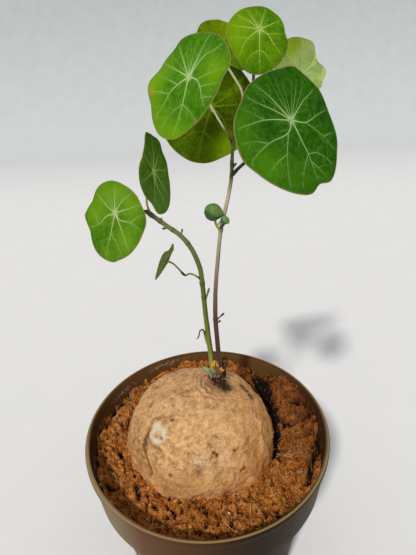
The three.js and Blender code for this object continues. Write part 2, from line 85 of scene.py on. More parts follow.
class Number:
    """A number in a material; sums with it add Math nodes."""

    def __init__(self, board: "Board", socket: NodeSocket) -> None:
        """Keeps the node tree and the socket that the number comes from."""
        self.board = board
        self.socket = socket

    def _math(self, operation: str, other: object) -> "Number":
        """This number and another through a Math node of that operation."""
        node = self.board.node("ShaderNodeMath", {"operation": operation}, {0: self, 1: other})
        return Number(self.board, node.outputs[0])

    def __add__(self, other: object) -> "Number":
        """self + other."""
        return self._math("ADD", other)

    def __sub__(self, other: object) -> "Number":
        """self - other."""
        return self._math("SUBTRACT", other)

    def __mul__(self, other: object) -> "Number":
        """self * other."""
        return self._math("MULTIPLY", other)

    def step(self, low: float, high: float) -> "Number":
        """0 below low, 1 above high and smooth between.

        Args:
            low: Where it leaves 0.
            high: Where it reaches 1; below low, the step falls instead.

        Returns:
            The stepped number.
        """
        ends = (low, high, 0.0, 1.0) if low < high else (high, low, 1.0, 0.0)
        values = dict(zip(("From Min", "From Max", "To Min", "To Max"), ends), Value=self)
        node = self.board.node("ShaderNodeMapRange", {"interpolation_type": "SMOOTHSTEP"}, values)
        return Number(self.board, node.outputs[0])


class Board:
    """One material and its node tree."""

    def __init__(self, name: str) -> None:
        """Starts an empty node tree under the material's name.

        Args:
            name: The material's name.
        """
        self.material = bpy.data.materials.new(name)
        self.material.use_nodes = True
        self.tree = self.material.node_tree
        self.tree.nodes.clear()

    def node(
        self, kind: str, settings: dict | None = None, values: dict | None = None
    ) -> bpy.types.Node:
        """Adds any node.

        Args:
            kind: The node's type.
            settings: Its own settings, set first; "stops" are a colour ramp's places and colours.
            values: A value or link for each socket, by name or place.

        Returns:
            The node.
        """
        node = self.tree.nodes.new(kind)
        for key, value in (settings or {}).items():
            if key == "stops":
                self._set_stops(node.color_ramp, value)
            else:
                setattr(node, key, value)
        for key, value in (values or {}).items():
            socket = node.inputs[key]
            if isinstance(value, Number):
                value = value.socket
            if isinstance(value, NodeSocket):
                self.tree.links.new(value, socket)
            elif socket.type == "RGBA":
                socket.default_value = (*value, 1.0)
            else:
                socket.default_value = value
        return node

    @staticmethod
    def _set_stops(ramp: bpy.types.ColorRamp, stops: Stops) -> None:
        """Gives a colour ramp its stops.

        Args:
            ramp: The ramp.
            stops: Pairs of place and colour, in rising order.
        """
        while len(ramp.elements) < len(stops):
            ramp.elements.new(1.0)
        for element, (place, colour) in zip(ramp.elements, stops):
            element.position = place
            element.color = (*colour, 1.0)

    def place(self) -> NodeSocket:
        """The point on the piece, in metres."""
        return self.node("ShaderNodeTexCoord").outputs["Object"]

    def stretched(self, scale: Point) -> NodeSocket:
        """The point on the piece with each of its axes scaled."""
        node = self.node("ShaderNodeMapping", None, {"Vector": self.place(), "Scale": scale})
        return node.outputs[0]

    def axis(self, name: str) -> Number:
        """The point's X, Y or Z, in millimetres."""
        node = self.node("ShaderNodeSeparateXYZ", None, {0: self.place()})
        return Number(self, node.outputs[name]) * (1 / MM)

    def mark(self, name: str) -> Number:
        """A number that the piece's vertices carry."""
        node = self.node("ShaderNodeAttribute", {"attribute_name": name})
        return Number(self, node.outputs["Fac"])

    def noise(
        self, size: float, detail: float = 3.0, rough: float = 0.55, at: object = None,
        warp: float = 0.0,
    ) -> Number:
        """Soft noise, about 0.5 on average.

        Args:
            size: Size of its features in millimetres.
            detail: Number of finer layers.
            rough: Weight of the finer layers.
            at: Where it is read, in place of the point on the piece.
            warp: Distortion.

        Returns:
            The noise.
        """
        values = {"Vector": at or self.place(), "Scale": 1 / (size * MM), "Detail": detail}
        values |= {"Roughness": rough, "Distortion": warp}
        return Number(self, self.node("ShaderNodeTexNoise", None, values).outputs[0])

    def cells(self, size: float, feature: str = "F1") -> Number:
        """Distance in a cell pattern.

        Args:
            size: Size of a cell in millimetres.
            feature: Distance to the cell's middle or to its edge.

        Returns:
            The distance, in cells.
        """
        values = {"Vector": self.place(), "Scale": 1 / (size * MM)}
        node = self.node("ShaderNodeTexVoronoi", {"feature": feature}, values)
        return Number(self, node.outputs["Distance"])

    def edges(self, size: float, low: float, high: float) -> Number:
        """Lines along a cell pattern's edges, stepped between two distances."""
        return self.cells(size, "DISTANCE_TO_EDGE").step(low, high)

    def blend(self, factor: object, first: object, second: object) -> NodeSocket:
        """The first colour where the factor is 0 and the second where it is 1."""
        node = self.node("ShaderNodeMix", {"data_type": "RGBA"}, {0: factor, 6: first, 7: second})
        return node.outputs[2]

    def layers(self, tone: object, *coats: tuple[object, object]) -> NodeSocket:
        """Lays colours over a first one.

        Args:
            tone: The first colour.
            coats: Pairs of a factor and the colour that it lays over all before.

        Returns:
            The colour.
        """
        for factor, colour in coats:
            tone = self.blend(factor, tone, colour)
        return tone

    def ramp(self, factor: Number, stops: Stops) -> NodeSocket:
        """Colours along a number, from pairs of place and colour."""
        return self.node("ShaderNodeValToRGB", {"stops": stops}, {0: factor}).outputs[0]

    def bump(self, height: Number, depth: float, over: object = None) -> NodeSocket:
        """Bends the light as a relief would.

        Args:
            height: The relief, from 0 to 1.
            depth: Its depth in millimetres.
            over: A normal that it is added to.

        Returns:
            The bent normal.
        """
        values = {"Height": height, "Distance": depth * MM}
        if over is not None:
            values["Normal"] = over
        return self.node("ShaderNodeBump", None, values).outputs[0]

    def close(
        self, tone: object, rough: object, normal: object, shine: float = 0.5,
        more: dict[str, float] | None = None,
    ) -> Material:
        """Ends the material with its surface.

        Args:
            tone: Its colour.
            rough: Its roughness.
            normal: Its normal, or None where it is even.
            shine: Its specular level.
            more: Values of other sockets.

        Returns:
            The material.
        """
        surface = {"Base Color": tone, "Roughness": rough, "Specular IOR Level": shine}
        surface |= more or {}
        if normal is not None:
            surface["Normal"] = normal
        shader = self.node("ShaderNodeBsdfPrincipled", None, surface)
        self.node("ShaderNodeOutputMaterial", None, {"Surface": shader.outputs[0]})
        return self.material


# Finishes


@dataclass(frozen=True)
class BladeFinish:
    """A leaf face: fine net, pale veins round the joint, coloured margin and patches of painted
    light.
    """

    name: str
    deep: Colour
    fresh: Colour
    glow: Colour
    vein: Colour
    margin: Colour = (0.30, 0.20, 0.09)
    stain: Colour = (0.45, 0.13, 0.02)
    roughness: float = 0.5
    net: float = 0.2

    def build(self) -> Material:
        """Makes the material.

        Returns:
            The material.
        """
        board = Board(self.name)
        mottle = board.noise(1.8, 4, 0.65)
        share = board.noise(9) * 0.5 + mottle * 0.7 + board.noise(0.7, 3, 0.7) * 0.7 - 0.45
        net = board.edges(1.9, 0.09, 0.0) * board.noise(5, 2).step(0.3, 0.6)
        tone = board.layers(
            self.deep,
            (share.step(0.32, 0.68), self.fresh),
            # Painted light: the glow patches lighten the blade toward the glow colour.
            (board.mark("glow") * (share * 0.9 + 0.55), self.glow),
            (net * self.net + board.mark("halo") * 0.16, board.blend(0.35, self.glow, self.vein)),
            (board.mark("heart"), self.vein),
            (board.mark("stain"), self.stain),
            (board.mark("margin"), self.margin),
        )
        relief = board.edges(2.4, 0.0, 0.2) * 0.6 + mottle * 0.5
        rough = board.noise(5) * 0.2 + (self.roughness - 0.1)
        return board.close(tone, rough, board.bump(relief, 0.06), 0.03)


@dataclass(frozen=True)
class VeinFinish:
    """A leaf's veins, pale at the joint and greener towards the margin."""

    name: str
    near: Colour
    far: Colour
    faint: Colour

    def build(self) -> Material:
        """Makes the material.

        Returns:
            The material.
        """
        board = Board(self.name)
        away = board.mark("along") + board.noise(1.5, 2) * 0.12 - 0.06
        stops = [(0.0, self.near), (0.1, self.near), (0.5, self.far), (1.0, self.faint)]
        normal = board.bump(board.noise(0.5, 2), 0.03)
        return board.close(board.ramp(away, stops), 0.55, normal, 0.05)


@dataclass(frozen=True)
class StalkFinish:
    """A stalk or stem whose colour changes along it, with painted shade down one side where the
    shade mark is set.
    """

    name: str
    stops: Stops
    scar: Colour = (0.030, 0.020, 0.012)
    # Colour of the painted shade down one side.
    shade: Colour = (0.055, 0.060, 0.012)
    fleck: Colour = (0.03, 0.025, 0.015)
    roughness: float = 0.5
    flecks: float = 0.3

    def build(self) -> Material:
        """Makes the material.

        Returns:
            The material.
        """
        board = Board(self.name)
        streaks = board.noise(0.8, 3, 0.6, board.stretched((1, 1, 0.12)))
        tone = board.ramp(board.mark("along") + (streaks - 0.5) * 0.05, self.stops)
        tone = board.layers(
            tone,
            (streaks.step(0.5, 0.78) * self.flecks, board.blend(0.6, tone, self.fleck)),
            # Painted shade down the side that the shade mark gives.
            ((board.mark("shade") + (streaks - 0.5) * 0.5).step(0.2, 0.7) * 0.85, self.shade),
            (board.mark("scar"), self.scar),
        )
        normal = board.bump(streaks + board.noise(0.3, 2) * 0.3, 0.12)
        return board.close(tone, streaks * 0.2 + self.roughness, normal, 0.15)


@dataclass(frozen=True)
class CorkFinish:
    """The tuber's dry tan cork with pits darkened by painted shade, pale crust and grey wear."""

    name: str = "dry_cork"
    light: Colour = (0.80, 0.47, 0.215)
    middle: Colour = (0.60, 0.32, 0.125)
    dark: Colour = (0.28, 0.115, 0.034)
    # Colour of the painted shade in pits and hollows.
    pit: Colour = (0.030, 0.014, 0.007)
    crust: Colour = (0.78, 0.62, 0.44)
    grey: Colour = (0.14, 0.08, 0.04)
    rust: Colour = (0.24, 0.088, 0.030)
    rubbed: Colour = (0.90, 0.60, 0.32)
    warm: Colour = (0.78, 0.32, 0.082)
    honey: Colour = (0.60, 0.34, 0.12)

    def build(self) -> Material:
        """Makes the material.

        Returns:
            The material.
        """
        board = Board(self.name)
        middle = board.noise(4, 5, 0.62, warp=0.4)
        grain = board.noise(1.1, 4, 0.7)
        upright = board.noise(3, 4, 0.6, board.stretched((1, 1, 0.35)))
        crumbly = board.noise(0.45, 3, 0.7)
        share = board.noise(15, 4, 0.55, warp=0.6) * 0.4 + middle * 0.6 + grain * 0.5
        share = share + upright * 0.25 + crumbly * 0.3 - 0.525
        # Colour follows the relief: low spots darker as painted shade, raised ones lighter as
        # painted highlight.
        share = share + (board.mark("relief") - 0.5) * 0.75
        stops = [(0.15, self.dark), (0.40, self.middle), (0.62, self.light), (0.90, self.rubbed)]
        tone = board.ramp(share, stops)
        pores = board.noise(0.7, 2, 0.5).step(0.60, 0.74)
        specks = board.cells(2.3).step(0.16, 0.03) * board.noise(7, 2).step(0.5, 0.62)
        lines = board.edges(3.4, 0.035, 0.0) * board.noise(9, 2).step(0.48, 0.62)
        low_and_right = board.axis("Z").step(111, 96) + board.axis("X").step(4, 26)
        tone = board.layers(
            tone,
            (low_and_right * 0.75, board.blend(0.6, tone, self.warm)),
            (specks * 0.6, self.dark),
            (pores * 0.42, self.dark),
            (lines * 0.5, self.dark),
            (board.mark("honey") * 0.55, self.honey),
            (board.mark("brown"), self.rust),
            (board.mark("grey") * 0.85, self.grey),
            (board.mark("crust"), self.crust),
            # The pit mark darkens the pits, the fissure and the hollow beside the crown with
            # painted shade, and lays dark flecks in the grey patch.
            (board.mark("pit"), self.pit),
        )
        fine = grain * 0.7 + crumbly * 0.4 + pores * -0.6 + board.cells(1.3) * 0.5
        normal = board.bump(fine, 0.5, board.bump(middle, 1.2))
        return board.close(tone, grain * 0.2 + 0.75, normal, 0.25)


@dataclass(frozen=True)
class BarkFinish:
    """The crown's black-brown bark with paler ridges."""

    name: str
    dark: Colour
    ridge: Colour

    def build(self) -> Material:
        """Makes the material.

        Returns:
            The material.
        """
        board = Board(self.name)
        grain = board.noise(1.3, 5, 0.7, board.stretched((1, 1, 0.5)), 0.6)
        tone = board.blend(grain.step(0.46, 0.68), self.dark, self.ridge)
        return board.close(tone, 0.8, board.bump(grain, 0.5), 0.1)


@dataclass(frozen=True)
class CoirFinish:
    """Coir: orange-brown grain with dark depths of painted shade, more painted shade to the right
    and painted light to the left.
    """

    name: str
    deep: Colour
    body: Colour
    bright: Colour
    # Colour of the painted shade on the right of the pot.
    painted_shade_colour: Colour = (0.050, 0.0, 0.0)

    def build(self) -> Material:
        """Makes the material.

        Returns:
            The material.
        """
        board = Board(self.name)
        grain = board.noise(1.0, 4, 0.7)
        share = grain * 0.7 + board.noise(4.5, 3, 0.6) * 0.55 + board.noise(18, 2) * 0.3 - 0.28
        stops = [(0.22, self.deep), (0.46, self.body), (0.66, self.bright), (0.9, self.bright)]
        tone = board.ramp(share, stops)
        # Painted shade darkens the right half towards the back, and more at the far right; painted
        # light lightens the left.
        painted_shade_right = board.axis("X").step(-4, 34) * board.axis("Y").step(-22, 16)
        far = board.axis("X").step(36, 52) * board.axis("Y").step(-32, -8)
        tone = board.layers(
            tone,
            (painted_shade_right, board.blend(0.38, tone, self.painted_shade_colour)),
            (far * 0.4, self.painted_shade_colour),
            (board.axis("X").step(-26, -48) * 0.4, self.bright),
            # Painted shade in the crevices, pores and shaded hollows, from the bed's deep mark.
            (board.mark("deep"), self.deep),
        )
        return board.close(tone, 0.92, board.bump(grain, 0.7), 0.2)


@dataclass(frozen=True)
class PlasticFinish:
    """The pot's satin olive-brown plastic with dust, scuffs and a dried water line inside; its
    front carries a painted reflection, its inner wall painted light and shade, and its lip a
    painted highlight.
    """

    name: str = "pot_plastic"
    body: Colour = (0.055, 0.025, 0.008)
    haze: Colour = (0.078, 0.039, 0.014)
    # Inner wall tones: the inside tone is the painted shade at the front, the back tone the painted
    # light towards the back.
    inside: Colour = (0.040, 0.020, 0.008)
    back: Colour = (0.135, 0.066, 0.021)
    # Colour of the painted highlight along the top of the rim.
    lip: Colour = (0.34, 0.21, 0.085)
    # Painted reflection: tones across the front of the pot, light at the left edge, darkest just
    # right of the middle and lighter again at the right edge.
    front: Stops = (
        (0.0, (0.26, 0.19, 0.112)), (0.1, (0.235, 0.17, 0.098)), (0.23, (0.130, 0.060, 0.024)),
        (0.37, (0.092, 0.039, 0.012)), (0.47, (0.064, 0.025, 0.006)), (0.6, (0.026, 0.012, 0.004)),
        (0.72, (0.013, 0.009, 0.004)), (0.83, (0.032, 0.024, 0.014)), (0.92, (0.072, 0.053, 0.035)),
        (1.0, (0.11, 0.085, 0.060)),
    )
    dust: Colour = (0.26, 0.19, 0.12)
    residue: Colour = (0.58, 0.48, 0.39)
    soil: Colour = (0.16, 0.058, 0.013)

    def build(self) -> Material:
        """Makes the material.

        Returns:
            The material.
        """
        board = Board(self.name)
        inner = board.mark("inner")
        # Painted light and shade on the inner wall: the dark inside tone at the front and the
        # lighter back tone towards the back.
        lit = board.axis("Y") + board.axis("X") * -0.2
        drip = board.axis("Z") + (board.noise(9) - 0.5) * 3 - board.axis("X").step(15, 45) * 7
        smear = inner * drip.step(99, 91) * board.noise(2.4, 4, 0.7).step(0.42, 0.62)
        specks = board.noise(0.8, 2, 0.5).step(0.66, 0.74) * inner
        ring = board.mark("ring") * board.noise(1.6, 4, 0.75).step(0.49, 0.62)
        # Painted reflection, laid over the front half of the pot.
        sheen = board.ramp(board.axis("X") * 0.01 + 0.5, self.front)
        tone = board.layers(
            self.body,
            (board.noise(22, 4).step(0.35, 0.7) * 0.5, self.haze),
            (board.axis("Y").step(5, -20) * 0.85, sheen),
            (inner, board.blend(lit.step(-5, 48), self.inside, self.back)),
            # Painted highlight along the top of the rim.
            (board.mark("lip"), self.lip),
            (smear * 0.8, self.soil),
            (specks * 0.5, self.dust),
            (ring * 0.85, self.residue),
            (board.noise(6, 4, 0.6).step(0.5, 0.8) * 0.03, self.dust),
        )
        scuff = board.noise(2, 4, 0.7, board.stretched((1, 1, 0.2)))
        rough = scuff * 0.22 + inner * 0.15 + ring * 0.25 + 0.4
        relief = board.noise(1.2, 3, 0.7) * 0.5 + board.noise(4, 2)
        return board.close(tone, rough, board.bump(relief, 0.08), 0.04)


@dataclass(frozen=True)
class PlainFinish:
    """A small piece's finish: two tones in fine noise."""

    name: str
    first: Colour
    second: Colour
    size: float = 1.0
    roughness: float = 0.5
    relief: float = 0.1
    through: float = 0.0

    def build(self) -> Material:
        """Makes the material.

        Returns:
            The material.
        """
        board = Board(self.name)
        grain = board.noise(self.size, 3, 0.6)
        tone = board.blend(grain.step(0.35, 0.65), self.first, self.second)
        more = {"Subsurface Weight": self.through, "Subsurface Scale": MM}
        rough = grain * 0.15 + (self.roughness - 0.07)
        return board.close(tone, rough, board.bump(grain, self.relief), more=more)


@dataclass(frozen=True)
class PodFinish:
    """A folded young leaf: matt green, with painted shade under the lobe's edge and a dark crease
    of painted shade.
    """

    name: str = "young_leaf"
    shade: Colour = (0.026, 0.078, 0.020)
    dark: Colour = (0.060, 0.145, 0.028)
    light: Colour = (0.15, 0.26, 0.05)
    seam: Colour = (0.012, 0.024, 0.008)
    rib: Colour = (0.17, 0.28, 0.08)

    def build(self) -> Material:
        """Makes the material.

        Returns:
            The material.
        """
        board = Board(self.name)
        grain = board.noise(1.2, 3, 0.6)
        tone = board.layers(
            self.dark,
            (grain.step(0.3, 0.7), self.light),
            (board.mark("rib") * 0.3, self.rib),
            # Painted shade under the lobe's edge and in the crease, from the under and seam marks.
            (board.mark("under") * 0.85, self.shade),
            (board.mark("seam"), self.seam),
        )
        return board.close(tone, 0.55, board.bump(grain, 0.08), 0.3)


# Mesh making


def smooth_path(points: Sequence[Point], steps: int) -> list[Vector]:
    """Evenly spaced stations on a smooth curve through points.

    Args:
        points: Points that the curve passes.
        steps: Number of spans between stations.

    Returns:
        steps + 1 stations.
    """
    knots = [Vector(point) for point in points]
    knots = [2 * knots[0] - knots[1], *knots, 2 * knots[-1] - knots[-2]]
    fine = 12
    track = []
    for i in range(1, len(knots) - 2):
        a, b, c, d = knots[i - 1 : i + 3]
        gaps = (b - a, c - b, d - c)
        before, here, after = (max(1e-4, gap.length ** 0.5) for gap in gaps)
        leave = ((b - a) / before - (c - a) / (before + here) + (c - b) / here) * here
        arrive = ((c - b) / here - (d - b) / (here + after) + (d - c) / after) * here
        square, cube = 3 * (c - b) - 2 * leave - arrive, 2 * (b - c) + leave + arrive
        for k in range(fine):
            t = k / fine
            track.append(b + leave * t + square * t**2 + cube * t**3)
    track.append(knots[-2])
    lengths = np.concatenate([[0.0], np.cumsum([(q - p).length for p, q in zip(track, track[1:])])])
    wanted = np.linspace(0, lengths[-1], steps + 1)
    places = np.array(track)
    return [Vector([np.interp(w, lengths, places[:, axis]) for axis in range(3)]) for w in wanted]


def along_list(values: Sequence[float], t: float) -> float:
    """Straight-line reading of evenly spaced values, t from 0 to 1."""
    return float(np.interp(t * (len(values) - 1), range(len(values)), values))


def bell(distance: np.ndarray | float, reach: float) -> np.ndarray | float:
    """1 at no distance, falling smoothly to nothing at about twice the reach."""
    return np.exp(-((distance / reach) ** 2))


def clamp(value: float) -> float:
    """The value, kept between 0 and 1."""
    return min(1.0, max(0.0, value))


def lumps(point: Vector, size: float = 1.0, shift: Point = (0, 0, 0)) -> float:
    """Noise at a point, for lumps of some size; a shift gives another pattern."""
    return noise.noise(point / size + Vector(shift))


def add_object(name: str, data: bpy.types.ID) -> Object:
    """Adds an object with its data to the scene.

    Args:
        name: Its name.
        data: Its data, such as a mesh or a lamp.

    Returns:
        The object.
    """
    item = bpy.data.objects.new(name, data)
    bpy.context.scene.collection.objects.link(item)
    return item


def to_mesh(bm: BMesh, name: str) -> bpy.types.Mesh:
    """Turns the work into a mesh and frees it.

    Args:
        bm: The work.
        name: The mesh's name.

    Returns:
        The mesh.
    """
    mesh = bpy.data.meshes.new(name)
    bm.to_mesh(mesh)
    bm.free()
    return mesh


def spin(bm: BMesh, profile: Iterable[Pair], sectors: int, merge: float = 1e-4) -> None:
    """Spins a profile about the upright axis.

    Args:
        bm: The work that it is added to.
        profile: Radius and height of its points.
        sectors: Steps round.
        merge: Distance below which points become one.
    """
    row = [bm.verts.new((radius, 0, height)) for radius, height in profile]
    lines = [bm.edges.new(pair) for pair in zip(row, row[1:])]
    bmesh.ops.spin(
        bm, geom=[*row, *lines], cent=(0, 0, 0), axis=(0, 0, 1), angle=2 * pi, steps=sectors,
        use_merge=True,
    )
    bmesh.ops.remove_doubles(bm, verts=bm.verts, dist=merge)


class Model:
    """One piece in the making, in millimetres in the row frame."""

    def __init__(self, name: str, marks: Sequence[str] = ()) -> None:
        """Starts an empty piece.

        Args:
            name: The piece's name.
            marks: Names of the numbers that its vertices carry.
        """
        self.name = name
        self.bm = bmesh.new()
        self.marks = {mark: self.bm.verts.layers.float.new(mark) for mark in marks}
        self.slots: list[Material] = []

    def slot(self, material: Material) -> int:
        """The place of a material in the piece's slots, added if it is new.

        Args:
            material: The material.

        Returns:
            Its place.
        """
        if material not in self.slots:
            self.slots.append(material)
        return self.slots.index(material)

    def faces_of(self, verts: Iterable[BMVert], material: Material) -> None:
        """Gives the faces round some vertices a material and smooth shading.

        Args:
            verts: The vertices.
            material: Their faces' material.
        """
        place = self.slot(material)
        for face in {face for vert in verts for face in vert.link_faces}:
            face.material_index = place
            face.smooth = True

    def tube(
        self, points: Sequence[Point], radii: Sequence[float], material: Material,
        steps: int = 12, sides: int = 8, along: Pair = (0.0, 1.0),
        swell: Callable[[float, float], float] | None = None,
    ) -> list[BMVert]:
        """A round tube along points.

        Args:
            points: Points that its middle passes.
            radii: Radii from start to end.
            material: Its material.
            steps: Spans along it.
            sides: Sides round it.
            along: The "along" number at its start and its end.
            swell: A factor on the radius for a share of the length and an angle.

        Returns:
            Its vertices.
        """
        made = bmesh.ops.create_cone(
            self.bm, cap_ends=True, segments=sides, radius1=1, radius2=1, depth=1
        )["verts"]
        all_edges = {e for v in made for e in v.link_edges}
        long_edges = [e for e in all_edges if abs(e.verts[0].co.z - e.verts[1].co.z) > 0.5]
        cut = bmesh.ops.subdivide_edges(
            self.bm, edges=long_edges, cuts=steps - 1, use_grid_fill=True
        )
        between = [g for g in cut["geom_inner"] if isinstance(g, BMVert)]
        verts = list({*between, *(e.other_vert(v) for v in between for e in v.link_edges)})
        stations = smooth_path(points, steps)
        normal = (stations[1] - stations[0]).orthogonal().normalized()
        crosses = []
        for i in range(steps + 1):
            ahead = (stations[min(i + 1, steps)] - stations[max(i - 1, 0)]).normalized()
            normal = (normal - ahead * normal.dot(ahead)).normalized()
            crosses.append((normal.copy(), ahead.cross(normal)))
        layer = self.marks.get("along")
        for vert in verts:
            share = clamp(vert.co.z + 0.5)
            i = round(share * steps)
            angle = atan2(vert.co.y, vert.co.x)
            radius = float(along_list(radii, share) * (swell(share, angle) if swell else 1.0))
            first, second = crosses[i]
            vert.co = stations[i] + radius * (cos(angle) * first + sin(angle) * second)
            if layer is not None:
                vert[layer] = along[0] + (along[1] - along[0]) * share
        self.faces_of(verts, material)
        return verts

    def blob(
        self, centre: Point, radius: float, material: Material, detail: int = 3,
        rough: float = 0.2, grain: float = 1.0, stretch: Point = (1, 1, 1),
    ) -> list[BMVert]:
        """A lumpy ball.

        Args:
            centre: Its middle.
            radius: Its radius.
            material: Its material.
            detail: Subdivisions.
            rough: Height of its lumps as a share of the radius.
            grain: Size of its lumps in millimetres.
            stretch: Scale along each axis.

        Returns:
            Its vertices.
        """
        verts = bmesh.ops.create_icosphere(self.bm, subdivisions=detail, radius=1)["verts"]
        for vert in verts:
            out = vert.co.normalized()
            spot = Vector(centre) + out * radius
            lump = 1 + rough * noise.turbulence(spot / grain, 3, False) * 1.4 - rough * 0.7
            vert.co = Vector(centre) + Vector([o * s * radius * lump for o, s in zip(out, stretch)])
        self.faces_of(verts, material)
        return verts

    def finish(self, replaces: Sequence[str], slot: Slot) -> Object:
        """Makes the object, in metres, and fits it to the frame.

        Args:
            replaces: The solids that it stands for.
            slot: The record's slot for its finish; not used.

        Returns:
            The object.
        """
        bmesh.ops.scale(self.bm, vec=(MM, MM, MM), verts=self.bm.verts)
        mesh = to_mesh(self.bm, self.name)
        for material in self.slots:
            mesh.materials.append(material)
        piece = add_object(self.name, mesh)
        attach(piece, BODY)
        if replaces:
            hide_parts(*replaces)
        LOG.info("%s: %d faces", self.name, len(mesh.polygons))
        return piece


# Leaves


@dataclass(frozen=True)
class Patch:
    """A soft spot on a blade, at a polar place round the joint."""

    angle: float
    radius: float
    reach: float
    strength: float = 1.0

    def on(self, x: np.ndarray, y: np.ndarray) -> np.ndarray:
        """Its strength at points of the blade's plane.

        Args:
            x: Places across the blade.
            y: Places along the blade.

        Returns:
            Its strength there.
        """
        turn = radians(self.angle)
        away = np.hypot(x - self.radius * cos(turn), y - self.radius * sin(turn))
        return self.strength * bell(away, self.reach)


class VeinRank(Enum):
    """A vein's half width and its place between near and far colours, each at start and end."""

    MAIN = (0.235, 0.185, 0.0, 0.5)
    FORK = (0.2, 0.175, 0.3, 0.62)
    FAN = (0.178, 0.158, 0.1, 0.85)
    TWIG = (0.168, 0.158, 0.72, 1.0)


@dataclass(frozen=True)
class LeafTone:
    """Colours of one leaf's faces, veins and stalk."""

    deep: Colour
    fresh: Colour
    glow: Colour
    vein: Colour
    vein_far: Colour
    stalk: Stops
    under_deep: Colour = (0.10, 0.20, 0.02)
    under_fresh: Colour = (0.16, 0.28, 0.04)
    under_glow: Colour = (0.24, 0.34, 0.05)
    net: float = 0.12
    margin: Colour = (0.32, 0.20, 0.09)


@dataclass(frozen=True)
class LeafShape:
    """One leaf: where it is, how it faces, its outline, veins and stalk."""

    name: str
    slot: Slot
    joint: Point
    facing: Pair
    outline: tuple[Pair, ...]
    bend: Pair
    ripple: tuple[int, float, float]
    stalk: tuple[Point, ...]
    stalk_radius: float
    tone: LeafTone
    veins: tuple[str, ...] = ()
    fan: tuple[float, float, int] = (0.0, 0.0, 0)
    # Patches of painted light on the blade.
    glow: tuple[Patch, ...] = ()
    stain: tuple[Patch, ...] = ()
    knot: float = -1.0


